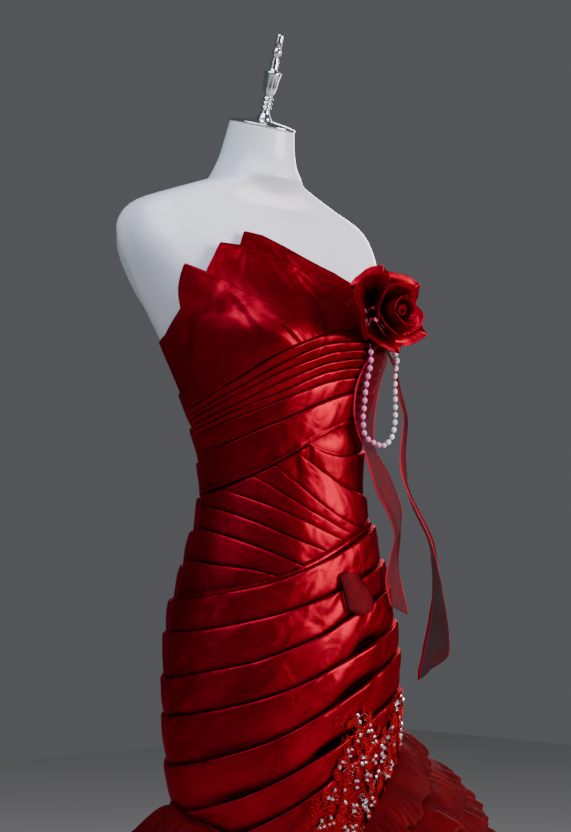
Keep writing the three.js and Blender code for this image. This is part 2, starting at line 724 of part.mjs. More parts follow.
// Ribbon tails and a loop of ribbon, as rows of height, then angle and distance out of the
// near and the far edge.
const RIBBON = 1;
const TAILS = [
  {
    name: "ribbon_tail_long",
    rows: [
      { z: 1264, near: 52, nearOut: 11.2, far: 58, farOut: 11.2 },
      { z: 1243, near: 52, nearOut: 25, far: 63, farOut: 28 },
      { z: 1205, near: 52, nearOut: 42, far: 64, farOut: 46 },
      { z: 1167, near: 52, nearOut: 55, far: 66, farOut: 60 },
      { z: 1098, near: 52, nearOut: 56, far: 66, farOut: 65 },
      { z: 1045, near: 52, nearOut: 71, far: 66, farOut: 71 },
      { z: 1001, near: 52, nearOut: 81, far: 66, farOut: 80 },
      { z: 954, near: 52, nearOut: 80, far: 68, farOut: 73 },
      { z: 903, near: 52, nearOut: 79, far: 70, farOut: 60 },
      { z: 864, near: 52, nearOut: 79, far: 70, farOut: 46 },
      { z: 838, near: 56, nearOut: 66, far: 68, farOut: 36 },
    ],
  },
  {
    name: "ribbon_tail_wide",
    rows: [
      { z: 1262, near: 28, nearOut: 12, far: 45, farOut: 12 },
      { z: 1243, near: 24.5, nearOut: 12.4, far: 46, farOut: 15 },
      { z: 1191, near: 22, nearOut: 12.5, far: 46, farOut: 20 },
      { z: 1150, near: 26, nearOut: 13, far: 47, farOut: 21 },
      { z: 1129, near: 35, nearOut: 14, far: 49, farOut: 23 },
      { z: 1092, near: 38, nearOut: 24, far: 50, farOut: 42 },
      { z: 1050, near: 43, nearOut: 33, far: 51, farOut: 52 },
      { z: 1016, near: 46, nearOut: 37, far: 50, farOut: 42 },
      { z: 985, near: 45, nearOut: 24, far: 50, farOut: 33 },
      { z: 957, near: 41, nearOut: 17, far: 50, farOut: 30 },
      { z: 915, near: 41, nearOut: 16, far: 50, farOut: 30 },
    ],
  },
  {
    name: "ribbon_loop",
    rows: [
      { z: 970, near: 12, nearOut: 11.6, far: 20, farOut: 11.6 },
      { z: 960, near: 8, nearOut: 11.6, far: 24, farOut: 11.6 },
      { z: 940, near: 6.5, nearOut: 13, far: 26.5, farOut: 14 },
      { z: 921, near: 9, nearOut: 13, far: 25, farOut: 14 },
      { z: 912, near: 13, nearOut: 12.5, far: 21, farOut: 13 },
    ],
  },
];

function makeTails() {
  for (const tail of TAILS) {
    const grid = (out) =>
      tail.rows.map((row) =>
        spread(0, 1, 3).map((v) => {
          const bow = 3 * Math.sin(v * Math.PI);
          return onFigure(mix(row.near, row.far, v), row.z, mix(row.nearOut, row.farOut, v) + bow + out);
        }),
      );
    addPiece(tail.name, wall(grid(RIBBON), grid(0)), "satin");
  }
}

// Strand of pearls that hangs as a loop from the rose, each point on the figure
const PEARL = 6.6;
const STRAND = [
  { angle: 23.5, z: 1262, out: 14.2 },
  { angle: 25, z: 1238, out: 19 },
  { angle: 26, z: 1209, out: 22 },
  { angle: 26, z: 1179, out: 23 },
  { angle: 26, z: 1160, out: 23 },
  { angle: 28, z: 1142, out: 25 },
  { angle: 34, z: 1134, out: 30 },
  { angle: 42, z: 1131, out: 38 },
  { angle: 47, z: 1142, out: 45 },
  { angle: 49, z: 1160, out: 46.5 },
  { angle: 50, z: 1177, out: 45 },
  { angle: 50, z: 1205, out: 40 },
  { angle: 50, z: 1228, out: 33 },
  { angle: 50, z: 1253, out: 26 },
  { angle: 49, z: 1264, out: 14 },
];

function makeStrand() {
  const path = new THREE.CatmullRomCurve3(STRAND.map((p) => onFigure(p.angle, p.z, p.out)));
  const circle = new THREE.Shape(
    spread(0, 360, 8).slice(0, 8).map((a) => {
      return new THREE.Vector2(Math.cos(a * DEGREE), Math.sin(a * DEGREE)).multiplyScalar(PEARL / 2);
    }),
  );
  const settings = { steps: 30, bevelEnabled: false, extrudePath: path };
  const geometry = new THREE.ExtrudeGeometry(circle, settings);
  geometry.deleteAttribute("normal");
  geometry.deleteAttribute("uv");
  const merged = mergeVertices(geometry, 1e-3);
  const points = Array.from(merged.attributes.position.array);
  addPiece("pearl_strand", outwards(points, Array.from(merged.index.array)), "pearl");
}

// Corded lace sprays over the skirt seam: a stem with leaves set along it, as angle and
// height of the stem's points and the leaves' length
const LACE = 1.2; // wall of the lace
const LACE_OUT = OVERLAY + SATIN + FOLD_HEIGHT + 0.9;
const SPRAYS = [
  { name: "lace_spray_front", stem: [[-30, 630], [-22, 664], [-12, 706], [0, 768]], leaf: 32 },
  { name: "lace_spray_middle", stem: [[8, 646], [15, 690], [22, 738], [30, 790]], leaf: 34 },
  { name: "lace_spray_left", stem: [[38, 704], [49, 738], [60, 776], [66, 822]], leaf: 32 },
];

function laceStrip(from, to, widths, low, high) {
  const [angle0, z0] = from;
  const [angle1, z1] = to;
  const reach = 2.5; // millimetres of the skirt to one degree
  const run = new THREE.Vector2((angle1 - angle0) * reach, z1 - z0).normalize();
  const grid = (out) =>
    widths.map((width, i) => {
      const share = i / (widths.length - 1);
      return [-1, 1].map((v) => {
        const angle = mix(angle0, angle1, share) - (v * width * run.y) / reach / 2;
        return onFigure(angle, mix(z0, z1, share) + (v * width * run.x) / 2, LACE_OUT + out);
      });
    });
  return wall(grid(high), grid(low));
}

const manifold = await Module();
manifold.setup();

function asSolid(geometry) {
  const merged = mergeVertices(geometry, 1e-3);
  const vertProperties = merged.attributes.position.array;
  const triVerts = new Uint32Array(merged.index.array);
  return new manifold.Manifold(new manifold.Mesh({ numProp: 3, vertProperties, triVerts }));
}

function makeLace() {
  for (const spray of SPRAYS) {
    const pieces = [];
    spray.stem.slice(1).forEach((point, i) => {
      pieces.push(laceStrip(spray.stem[i], point, [5, 5, 5], 0, LACE));
      for (const side of [-1, 1]) {
        const share = side > 0 ? 0.35 : 0.7;
        const foot = [mix(spray.stem[i][0], point[0], share), mix(spray.stem[i][1], point[1], share)];
        const rise = side > 0 ? 0.35 : 0.75;
        const tip = [foot[0] + (side * spray.leaf) / 4, foot[1] + spray.leaf * rise];
        pieces.push(laceStrip(foot, tip, [4, 12, 2], 0.1, LACE - 0.1));
      }
    });
    const joined = manifold.Manifold.union(pieces.map(asSolid)).simplify(0.08);
    const mesh = joined.getMesh();
    addPiece(spray.name, outwards(Array.from(mesh.vertProperties), Array.from(mesh.triVerts)), "lace");
  }
}

makeForm();
makeNeckTop();
makeStand();
makeBustFolds();
makeFrontPanels();
makeBackPanels();
makeZip();
makeRose();
makeTails();
makeStrand();
makeLace();
makeSkirt();
makeRuffles();

export default dress;
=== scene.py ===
import math
import random
from functools import lru_cache

import bpy
import bmesh
from mathutils import Matrix, Vector, noise


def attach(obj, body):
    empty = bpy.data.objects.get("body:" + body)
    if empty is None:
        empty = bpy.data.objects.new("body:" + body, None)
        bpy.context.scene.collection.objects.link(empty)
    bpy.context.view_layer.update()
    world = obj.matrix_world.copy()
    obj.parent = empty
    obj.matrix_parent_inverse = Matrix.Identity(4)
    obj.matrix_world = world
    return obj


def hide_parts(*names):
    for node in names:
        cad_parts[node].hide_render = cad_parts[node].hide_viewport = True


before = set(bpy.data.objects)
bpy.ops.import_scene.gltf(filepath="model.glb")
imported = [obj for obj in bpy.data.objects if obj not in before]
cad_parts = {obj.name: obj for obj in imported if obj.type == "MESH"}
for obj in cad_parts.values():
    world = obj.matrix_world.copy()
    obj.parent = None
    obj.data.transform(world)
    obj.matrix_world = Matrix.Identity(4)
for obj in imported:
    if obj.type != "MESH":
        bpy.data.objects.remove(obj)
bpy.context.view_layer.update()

mm = 0.001  # the tables are in millimetres, the scene is in metres

# Camera: the photograph looks at the wearer's right front from a little over two metres
camera = {
    "azimuth": -40,
    "distance": 2.35,
    "height": 0.975,
    "pitchUp": 4.77,
    "lens": 77.3,
    "sensor": 36,
    "shiftRight": 0.003,
}


def makeCamera():
    turn = math.radians(camera["azimuth"])
    data = bpy.data.cameras.new("camera")
    data.sensor_fit = "VERTICAL"
    data.sensor_height = camera["sensor"]
    data.lens = camera["lens"]
    data.shift_x = camera["shiftRight"]
    data.clip_end = 50
    obj = bpy.data.objects.new("camera", data)
    obj.location = (
        math.sin(turn) * camera["distance"],
        -math.cos(turn) * camera["distance"],
        camera["height"],
    )
    obj.rotation_euler = (math.radians(90 + camera["pitchUp"]), 0, turn)
    bpy.context.scene.collection.objects.link(obj)
    bpy.context.scene.camera = obj


makeCamera()
print("stage: camera")

# The figure: height, how far back its middle lies, half width, depth in front of and behind
# the middle, and how square the oval is
figure = [
    (560, 0, 140, 104, 104, 2),
    (620, 0, 147, 107, 107, 2),
    (680, 0, 154, 111, 111, 2),
    (740, 0, 160, 116, 116, 2),
    (800, 0, 163, 119, 120, 2),
    (880, 0, 161, 116, 118, 2),
    (950, 0, 147, 107, 110, 2),
    (1000, 0, 131, 99, 100, 2),
    (1040, 0, 119, 92, 91, 2),
    (1080, 2, 113, 87, 86, 2),
    (1130, 7, 117, 90, 88, 2),
    (1180, 14, 128, 97, 93, 2.05),
    (1240, 27, 146, 104, 100, 2.15),
    (1290, 42, 162, 104, 98, 2.35),
    (1335, 56, 184, 98, 94, 2.7),
    (1385, 67, 204, 84, 84, 2.9),
    (1422, 70, 204, 68, 76, 2.8),
    (1446, 69, 188, 56, 66, 2.7),
    (1462, 67, 154, 52, 60, 2.5),
    (1475, 64, 116, 52, 58, 2.3),
    (1490, 60, 80, 54, 57, 2.1),
]
# The neck's rings: height, how far back, radius, lean forward
neck = [
    (1502, 57, 61, 6),
    (1518, 54, 54, 11),
    (1542, 50, 48.5, 15),
    (1568, 44, 44.5, 18),
]
cup = {"angle": 33, "width": 27, "z": 1272, "height": 46, "depth": 30}

# Fold lines: height at the right side seam, in the middle of the front, at the left seam
bustBand = [
    (1169, 1263, 1268),
    (1163, 1250, 1259),
    (1157, 1238, 1250),
    (1151, 1225, 1241),
    (1145, 1213, 1232),
    (1139, 1201, 1222),
    (1114, 1178, 1204),
]
bandEdge = (1066, 1135, 1172)
waistCross = [
    (1200, 1122, 1130),
    (1191, 1097, 1062),
    (1162, 1053, 1012),
    (1114, 1034, 1000),
    (1076, 1017, 985),
    (1049, 992, 966),
    (1021, 963, 945),
    (980, 945, 930),
]
hipWrap = [
    (928, 980, 1032),
    (888, 936, 984),
    (832, 894, 952),
    (784, 846, 905),
    (723, 799, 868),
    (664, 748, 818),
    (621, 709, 790),
]
backBodice = [
    (1196, 1206, 1212),
    (1150, 1166, 1180),
    (1105, 1126, 1146),
    (1060, 1086, 1110),
    (1016, 1046, 1074),
    (972, 1010, 1052),
]
skirtSeam = (675, 612, 771)
rightSeam, leftSeam, backCentre = -100, 95, 180
satin = 1.5  # the wall and the places where panels start, as in the solids
ease = 2
overlay = 4.8
lap = 12


def curveThrough(rows, place, column):
    # a smooth curve through one column of a table whose first column is the place
    last = len(rows) - 1
    if place <= rows[0][0]:
        return rows[0][column]
    if place >= rows[last][0]:
        return rows[last][column]
    i = 0
    while place > rows[i + 1][0]:
        i += 1
    before, start, end, after = rows[max(0, i - 1)], rows[i], rows[i + 1], rows[min(last, i + 2)]
    step = end[0] - start[0]
    u = (place - start[0]) / step
    leave = (end[column] - before[column]) / (end[0] - before[0]) * step
    arrive = (after[column] - start[column]) / (after[0] - start[0]) * step
    return (
        (2 * u**3 - 3 * u**2 + 1) * start[column]
        + (u**3 - 2 * u**2 + u) * leave
        + (3 * u**2 - 2 * u**3) * end[column]
        + (u**3 - u**2) * arrive
    )


def mix(a, b, share):
    return a + (b - a) * share


def smooth(share):
    t = min(1, max(0, share))
    return t * t * (3 - 2 * t)


@lru_cache(maxsize=None)
def levelAt(z):
    return tuple(curveThrough(figure, z, column) for column in range(1, 6))


def skinRadius(angle, z):
    back, halfWidth, front, rear, square = levelAt(round(z, 2))
    turn = math.radians(angle)
    depth = front if math.cos(turn) > 0 else rear
    across = abs(math.sin(turn)) / halfWidth
    oval = (across**square + (abs(math.cos(turn)) / depth) ** square) ** (-1 / square)
    signed = angle - 360 if angle > 180 else angle
    level = math.exp(-(((z - cup["z"]) / cup["height"]) ** 2))
    cups = [math.exp(-(((signed - a) / cup["width"]) ** 2)) for a in (cup["angle"], -cup["angle"])]
    return oval + cup["depth"] * level * sum(cups)


def onFigure(angle, z, out):
    # the point at an angle round the figure, a height, and a distance out from the skin
    turn = math.radians(angle)
    radius = skinRadius(angle, z) + out
    back = levelAt(round(z, 2))[0]
    return Vector((radius * math.sin(turn), back - radius * math.cos(turn), z)) * mm


def climb(angle):
    front = angle - 360 if angle > 250 else angle + 360 if angle < -110 else angle
    if front <= 90:
        return math.sin(math.radians(0.9 * (front + 10)))
    return math.cos(math.pi * ((front - 90) / 160) ** 1.5)


def lineHeight(line, angle):
    right, middle, left = line
    s = climb(angle)
    return middle + (left - right) / 2 * s + ((left + right) / 2 - middle) * s * s


def edgeHeight(table, angle):
    # straight lines through (angle, height) rows, for edges with corners
    if angle <= table[0][0]:
        return table[0][1]
    for (a, za), (b, zb) in zip(table, table[1:]):
        if angle <= b:
            return mix(za, zb, (angle - a) / (b - a))
    return table[-1][1]


def ripple(x, y, seed):
    return noise.noise(Vector((x, y, seed * 7.3)))


# Mesh helpers


def finishMesh(bm, name, material, nodes, outward=None):
    # makes the piece, turns its faces outwards, hangs it on the root, and hides the model's parts that it
    # stands for
    if outward is not None:
        bm.normal_update()
        facing = sum(f.normal.dot(outward(f.calc_center_median())) * f.calc_area() for f in bm.faces)
        if facing < 0:
            bmesh.ops.reverse_faces(bm, faces=bm.faces)
    mesh = bpy.data.meshes.new(name)
    bm.to_mesh(mesh)
    bm.free()
    for polygon in mesh.polygons:
        polygon.use_smooth = True
    obj = bpy.data.objects.new(name, mesh)
    bpy.context.scene.collection.objects.link(obj)
    mesh.materials.append(material)
    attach(obj, "root")
    if nodes:
        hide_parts(*nodes)
    return obj


def gridMesh(columns, rows, place, ring=False, shade=None):
    # a sheet of faces whose corners are placed by u, along it, and v, across it; the shade is how deep
    # in a fold each corner lies, which the satin's colour reads as painted shade
    bm = bmesh.new()
    bm.loops.layers.uv.new("UVMap")
    groove = bm.verts.layers.float.new("groove")
    bmesh.ops.create_grid(bm, x_segments=columns, y_segments=rows, size=0.5, calc_uvs=True)
    for vert in bm.verts:
        u, v = vert.co.x + 0.5, vert.co.y + 0.5
        vert.co = place(u, v)
        if shade:
            vert[groove] = shade(u, v)
    if ring:
        bmesh.ops.remove_doubles(bm, verts=bm.verts, dist=1e-6)
    return bm


def awayFromAxis(point):
    return Vector((point.x, point.y - 0.02, 0))


def thicken(obj, thickness, offset=-1):
    solid = obj.modifiers.new("thickness", "SOLIDIFY")
    solid.thickness = thickness * mm
    solid.offset = offset
    solid.use_even_offset = False
    return obj


def turnedMesh(profile, segments):
    # a shape turned about Z from (radius, height) points in millimetres
    bm = bmesh.new()
    verts = [bm.verts.new((r * mm, 0, h * mm)) for r, h in profile]
    edges = [bm.edges.new(pair) for pair in zip(verts, verts[1:])]
    bmesh.ops.spin(
        bm,
        geom=verts + edges,
        cent=(0, 0, 0),
        axis=(0, 0, 1),
        angle=2 * math.pi,
        steps=segments,
        use_merge=True,
    )
    bmesh.ops.remove_doubles(bm, verts=bm.verts, dist=1e-6)
    bmesh.ops.recalc_face_normals(bm, faces=bm.faces)
    return bm


# Materials


def hexColor(code):
    parts = [int(code[i : i + 2], 16) / 255 for i in (1, 3, 5)]
    linear = [c / 12.92 if c <= 0.04045 else ((c + 0.055) / 1.055) ** 2.4 for c in parts]
    return (*linear, 1)


def addNode(tree, kind, inputs=None, **settings):
    node = tree.nodes.new(kind)
    for key, value in settings.items():
        setattr(node, key, value)
    for key, value in (inputs or {}).items():
        if isinstance(value, bpy.types.NodeSocket):
            tree.links.new(value, node.inputs[key])
        else:
            node.inputs[key].default_value = value
    return node


def newMaterial(name, **sockets):
    material = bpy.data.materials.new(name)
    material.use_nodes = True
    tree = material.node_tree
    shader = tree.nodes["Principled BSDF"]
    for key, value in sockets.items():
        shader.inputs[key.replace("_", " ")].default_value = value
    return material, tree, shader


def colorRamp(tree, factor, stops):
    ramp = addNode(tree, "ShaderNodeValToRGB", {"Fac": factor})
    elements = ramp.color_ramp.elements
    while len(elements) < len(stops):
        elements.new(0.5)
    for element, (position, code) in zip(elements, stops):
        element.position = position
        element.color = hexColor(code)
    return ramp.outputs["Color"]


def duchessSatin():
    # polyester duchess satin: long floats on the face give a soft, coloured gleam along folds
    material, tree, shader = newMaterial(
        "duchessSatin",
        Roughness=0.4,
        Metallic=0.86,
        Sheen_Weight=0.05,
        Sheen_Roughness=0.4,
        Sheen_Tint=hexColor("#ff2f6e"),
        Specular_IOR_Level=0.12,
        Specular_Tint=hexColor("#ff3c8c"),
    )
    place = addNode(tree, "ShaderNodeTexCoord").outputs["Object"]
    cloud = addNode(tree, "ShaderNodeTexNoise", {"Vector": place, "Scale": 9, "Detail": 3})
    color = colorRamp(tree, cloud.outputs["Fac"], [(0.3, "#620110"), (0.7, "#960320")])
    # painted shade: the colour is darkened almost to black where one fold goes under the next, read from
    # the groove attribute
    groove = addNode(tree, "ShaderNodeAttribute", attribute_name="groove").outputs["Fac"]
    blend = {"Factor": groove, 6: color, 7: hexColor("#0a0002")}
    shaded = addNode(tree, "ShaderNodeMix", blend, data_type="RGBA").outputs[2]
    tree.links.new(shaded, shader.inputs["Base Color"])
    # threads are far too fine to show, so the crossing weave is drawn at about 1.2 mm; broad soft
    # dents 30 mm across break up the gleam as they do on a gown that has been handled
    warp = addNode(tree, "ShaderNodeTexNoise", {"Vector": place, "Scale": 420, "Detail": 2})
    fine = {"Height": warp.outputs["Fac"], "Strength": 0.08, "Distance": 0.0008}
    weave = addNode(tree, "ShaderNodeBump", fine).outputs["Normal"]
    dents = {"Vector": place, "Scale": 24, "Detail": 2, "Distortion": 0.6}
    hollow = addNode(tree, "ShaderNodeTexNoise", dents).outputs["Fac"]
    soft = {"Height": hollow, "Strength": 0.5, "Distance": 0.006, "Normal": weave}
    broad = addNode(tree, "ShaderNodeBump", soft)
    tree.links.new(broad.outputs["Normal"], shader.inputs["Normal"])
    return material


def organza(name, dark, light, opacity, edge=None, border=0.41):
    # crisp polyester organza, an open plain weave: partly see-through and uneven in depth, with
    # another colour along a ribbon's borders: the turned edges of the tails, where the cloth is double,
    # and a dark painted shadow round the loop's outline
    material, tree, shader = newMaterial(
        name,
        Roughness=0.58,
        Sheen_Weight=0.06,
        Sheen_Roughness=0.4,
        Sheen_Tint=hexColor("#ff1f38"),
        Specular_IOR_Level=0.2,
        Specular_Tint=hexColor("#ff4a5c"),
    )
    coords = addNode(tree, "ShaderNodeTexCoord")
    place = coords.outputs["Object"]
    patchy = {"Vector": place, "Scale": 22, "Detail": 5, "Roughness": 0.6}
    cloud = addNode(tree, "ShaderNodeTexNoise", patchy).outputs["Fac"]
    color = colorRamp(tree, cloud, [(0.32, dark), (0.7, light)])
    density = {
        "Value": cloud,
        "From Min": 0.3,
        "From Max": 0.7,
        "To Min": opacity - 0.1,
        "To Max": opacity + 0.08,
    }
    cover = addNode(tree, "ShaderNodeMapRange", density).outputs["Result"]
    if edge:
        # the ribbon's UV runs across it, so its two borders are where U is near 0 and 1
        across = addNode(tree, "ShaderNodeSeparateXYZ", {"Vector": coords.outputs["UV"]}).outputs["X"]
        middle = addNode(tree, "ShaderNodeMath", {0: across, 1: 0.5}, operation="SUBTRACT").outputs[0]
        apart = addNode(tree, "ShaderNodeMath", {0: middle}, operation="ABSOLUTE").outputs[0]
        limits = {"Value": apart, "From Min": border, "From Max": border + 0.045}
        edgeShare = addNode(tree, "ShaderNodeMapRange", limits).outputs["Result"]
        blend = {"Factor": edgeShare, 6: color, 7: hexColor(edge)}
        color = addNode(tree, "ShaderNodeMix", blend, data_type="RGBA").outputs[2]
        cover = addNode(tree, "ShaderNodeMath", {0: cover, 1: edgeShare}, operation="MAXIMUM").outputs[0]
    tree.links.new(color, shader.inputs["Base Color"])
    tree.links.new(cover, shader.inputs["Alpha"])
    weave = addNode(tree, "ShaderNodeTexNoise", {"Vector": place, "Scale": 500, "Detail": 2})
    fine = {"Height": weave.outputs["Fac"], "Strength": 0.15, "Distance": 0.0006}
    bump = addNode(tree, "ShaderNodeBump", fine)
    tree.links.new(bump.outputs["Normal"], shader.inputs["Normal"])
    return material


def gloss(name, code, roughness, **more):
    # a material of one colour and roughness
    return newMaterial(name, Base_Color=hexColor(code), Roughness=roughness, **more)


def mouldedShell():
    # white gel coat on a moulded glass-fibre form: smooth, with a soft broad gloss
    material, tree, shader = gloss("mouldedShell", "#e6e9ef", 0.3, Coat_Weight=0.25, Coat_Roughness=0.2)
    place = addNode(tree, "ShaderNodeTexCoord").outputs["Object"]
    cloud = addNode(tree, "ShaderNodeTexNoise", {"Vector": place, "Scale": 5, "Detail": 4})
    color = colorRamp(tree, cloud.outputs["Fac"], [(0.3, "#dfe3ea"), (0.7, "#edeff4")])
    tree.links.new(color, shader.inputs["Base Color"])
    dimple = addNode(tree, "ShaderNodeTexNoise", {"Vector": place, "Scale": 90, "Detail": 2})
    slight = {"Height": dimple.outputs["Fac"], "Strength": 0.04, "Distance": 0.001}
    bump = addNode(tree, "ShaderNodeBump", slight)
    tree.links.new(bump.outputs["Normal"], shader.inputs["Normal"])
    return material


def polishedChrome():
    # chromium plate on turned steel: mirror bright, with faint turning marks
    material, tree, shader = gloss("polishedChrome", "#d4d7dc", 0.1, Metallic=1)
    place = addNode(tree, "ShaderNodeTexCoord").outputs["Object"]
    marks = addNode(tree, "ShaderNodeTexNoise", {"Vector": place, "Scale": 200, "Detail": 2})
    polish = {"Value": marks.outputs["Fac"], "To Min": 0.07, "To Max": 0.16}
    rough = addNode(tree, "ShaderNodeMapRange", polish)
    tree.links.new(rough.outputs["Result"], shader.inputs["Roughness"])
    return material


def glassPearl():
    # lacquered glass pearls: a white core under a thin glossy coat; the near run is coloured rose, a
    # painted reflection of the red ribbon it lies on
    material, tree, shader = gloss("glassPearl", "#f2e9ee", 0.18, Coat_Weight=0.7, Coat_Roughness=0.08)
    place = addNode(tree, "ShaderNodeTexCoord").outputs["Object"]
    right = addNode(tree, "ShaderNodeSeparateXYZ", {"Vector": place}).outputs["X"]
    run = {"Value": right, "From Min": 0.088, "From Max": 0.1}
    share = addNode(tree, "ShaderNodeMapRange", run).outputs["Result"]
    # painted reflection: rose on the near run, white on the far run
    color = colorRamp(tree, share, [(0.0, "#dc7fb4"), (1.0, "#f4eef4")])
    tree.links.new(color, shader.inputs["Base Color"])
    return material


satinCloth = duchessSatin()
# the loop's near-black border is painted shadow round its outline
loopOrganza = organza("loopOrganza", "#4a0108", "#6a0512", 0.6, edge="#160002", border=0.37)
tailOrganza = organza("tailOrganza", "#3a0208", "#6c0418", 0.55, edge="#b00e30")
ruffleOrganza = organza("ruffleOrganza", "#3c0104", "#5c0208", 0.88)
skirtOrganza = organza("skirtOrganza", "#580308", "#66050b", 1)
# rayon cord: viscose thread wound round a core and couched down, a matt raised line
laceCord = gloss("rayonCord", "#9c000c", 0.6, Specular_IOR_Level=0.12)[0]
# lace filling: close darning stitches in cotton thread, dull and darker than the cord
laceFilling = gloss("laceFilling", "#5a0005", 0.8, Specular_IOR_Level=0.05)[0]
# nylon thread: a drawn strand, dyed pink, seen only between the pearls
threadNylon = gloss("threadNylon", "#b84a78", 0.5)[0]
shellWhite = mouldedShell()
chrome = polishedChrome()
pearlGlass = glassPearl()
# foiled crystal: cut glass with a silvered back, hard white glints
crystal = gloss("foiledCrystal", "#eef1f8", 0.14, Metallic=0.75, Coat_Weight=0.5)[0]
# floor paint: pale matt emulsion, rolled on
floorPaint = gloss("floorPaint", "#c9c7c4", 0.7)[0]
print("stage: materials")


# Display form


# The torso: its mesh, its lower and upper end, the flat arm ends, and the neck's foot, which is
# blended into the shoulders between two heights in metres
formSettings = {
    "columns": 180,
    "rows": 170,
    "bottom": 760,
    "top": 1490,
    "arms": (-113, 113),
    "armWide": 18,
    "armHigh": 80,
    "armAt": 1372,
    "armSunk": 3,
    "armRim": 0.12,
    "neckFoot": (1490, 60, 66, 4),
    "neckRows": 0.16,
    "blended": (1.458, 1.53),
    "blendings": 6,
}


def armPlate(angle, z):
    # the flat oval where an arm would start, sunk a little below the shoulder
    deep = 0
    for centre in formSettings["arms"]:
        across = (angle - centre) / formSettings["armWide"]
        away = math.hypot(across, (z - formSettings["armAt"]) / formSettings["armHigh"])
        deep += formSettings["armSunk"] * smooth((1 - away) / formSettings["armRim"])
    return deep


def makeForm():
    span = formSettings["top"] - formSettings["bottom"]
    neckRows = formSettings["neckRows"]
    rings = [formSettings["neckFoot"]] + neck

    def leaning(angle, share):
        # a point of the neck, whose rings lean forward
        level = mix(rings[0][0], rings[-1][0], share)
        back, radius, lean = (curveThrough(rings, level, column) for column in (1, 2, 3))
        turn, tilt = math.radians(angle), math.radians(lean)
        forward = radius * math.cos(turn)
        spot = (radius * math.sin(turn), back - forward * math.cos(tilt), level - forward * math.sin(tilt))
        return Vector(spot) * mm

    def place(u, v):
        angle = u * 360 - 180
        if v <= 1 - neckRows:
            z = formSettings["bottom"] + span * v / (1 - neckRows)
            return onFigure(angle, z, -armPlate(angle, z))
        return leaning(angle, (v - 1 + neckRows) / neckRows)

    bm = gridMesh(formSettings["columns"], formSettings["rows"], place, ring=True)
    low, high = formSettings["blended"]
    neckFoot = [v for v in bm.verts if low < v.co.z < high]
    everyWay = {"use_axis_x": True, "use_axis_y": True, "use_axis_z": True}
    for turn in range(formSettings["blendings"]):
        bmesh.ops.smooth_vert(bm, verts=neckFoot, factor=0.5, **everyWay)
    edges = [e for e in bm.edges if e.is_boundary]
    bmesh.ops.holes_fill(bm, edges=edges)
    bmesh.ops.recalc_face_normals(bm, faces=bm.faces)
    finishMesh(bm, "displayForm", shellWhite, ["form_torso"])


# Neck cap and finial, each a turned profile of radius and height, tilted back with the neck
finial = {
    "capSeat": (0, 44, 1568.4),
    "lean": 18,
    "segments": 48,
    "stemSeat": 9.4,
    "cupFrom": 36,
    "cupTo": 60,
    "hollows": 8,
    "hollowDeep": 0.16,
    "cap": [(0, 0), (44.5, 0), (45.5, 1), (45.5, 2.6), (44, 3.4), (30, 6.5), (14, 8.6), (12, 9), (0, 9)],
    "stem": [
        (0, 0), (10.5, 0), (10.6, 0.8), (9.5, 3), (7, 7), (5.4, 12), (5.6, 14), (7.6, 15), (7.8, 16),
        (7.6, 17), (5.8, 18), (5.6, 19), (5.8, 20), (7.6, 21), (7.8, 22), (7.6, 23), (5.8, 24), (5.6, 25),
        (5.8, 26), (7.6, 27), (7.8, 28), (7.6, 29), (5.4, 30.4), (5, 31), (6, 34), (8.4, 38), (9.8, 44),
        (10.6, 54), (11.8, 61), (12, 62), (12, 63.6), (10, 65), (5.8, 66), (5.4, 70), (5.7, 78), (4, 83),
        (3.8, 85), (5.2, 86.6), (6.3, 89), (6.5, 91), (6.2, 93), (4.2, 96), (3.9, 97), (4.6, 98.6),
        (5, 104), (4.9, 112), (4.2, 114.4), (3, 115.2), (0, 115.4),
    ],
}


def makeNeckTop():
    tilt = Matrix.Rotation(math.radians(finial["lean"]), 4, "X")
    seat = Matrix.Translation(Vector(finial["capSeat"]) * mm)
    for name, profile, lift, node in (
        ("neckCap", finial["cap"], 0, "neck_cap"),
        ("turnedFinial", finial["stem"], finial["stemSeat"], "finial"),
    ):
        bm = turnedMesh(profile, finial["segments"])
        if name == "turnedFinial":
            fluteCup(bm)
        bmesh.ops.translate(bm, verts=bm.verts, vec=(0, 0, lift * mm))
        bmesh.ops.transform(bm, verts=bm.verts, matrix=seat @ tilt)
        finishMesh(bm, name, chrome, [node])


def fluteCup(bm):
    # eight hollows round the tulip cup, deepest half way up
    low, high = finial["cupFrom"], finial["cupTo"]
    for vert in bm.verts:
        height = vert.co.z / mm
        if low < height < high:
            turn = math.atan2(vert.co.y, vert.co.x)
            ring = 0.5 + 0.5 * math.cos(finial["hollows"] * turn)
            rise = math.sin(math.pi * (height - low) / (high - low))
            shrink = 1 - finial["hollowDeep"] * ring * rise
            vert.co.x *= shrink
            vert.co.y *= shrink


# Round foot, pole and the fitting under the form, as profiles of radius and height
stand = {
    "segments": 64,
    "poleSegments": 32,
    "base": [
        (0, 0), (149, 0), (150, 1), (150, 4.4), (147, 7), (140, 9.4), (40, 10), (27, 12), (24, 20),
        (21.5, 40), (20, 44), (12.4, 44), (12.4, 10), (0, 10),
    ],
    "pole": [(0, 10.4), (11.6, 10.4), (12, 11), (12, 759), (11.6, 759.6), (0, 759.6)],
    "collar": [
        (12.4, 730), (21, 730), (22, 731), (24, 752), (30, 755), (43, 756), (44, 757), (44, 759.6),
        (12.4, 759.6), (12.4, 730),
    ],
}


def makeStand():
    for name, profile, segments, node in (
        ("standPole", stand["pole"], stand["poleSegments"], "stand_pole"),
        ("standBase", stand["base"], stand["segments"], "stand_base"),
        ("formCollar", stand["collar"], stand["segments"], "form_collar"),
    ):
        finishMesh(turnedMesh(profile, segments), name, chrome, [node])


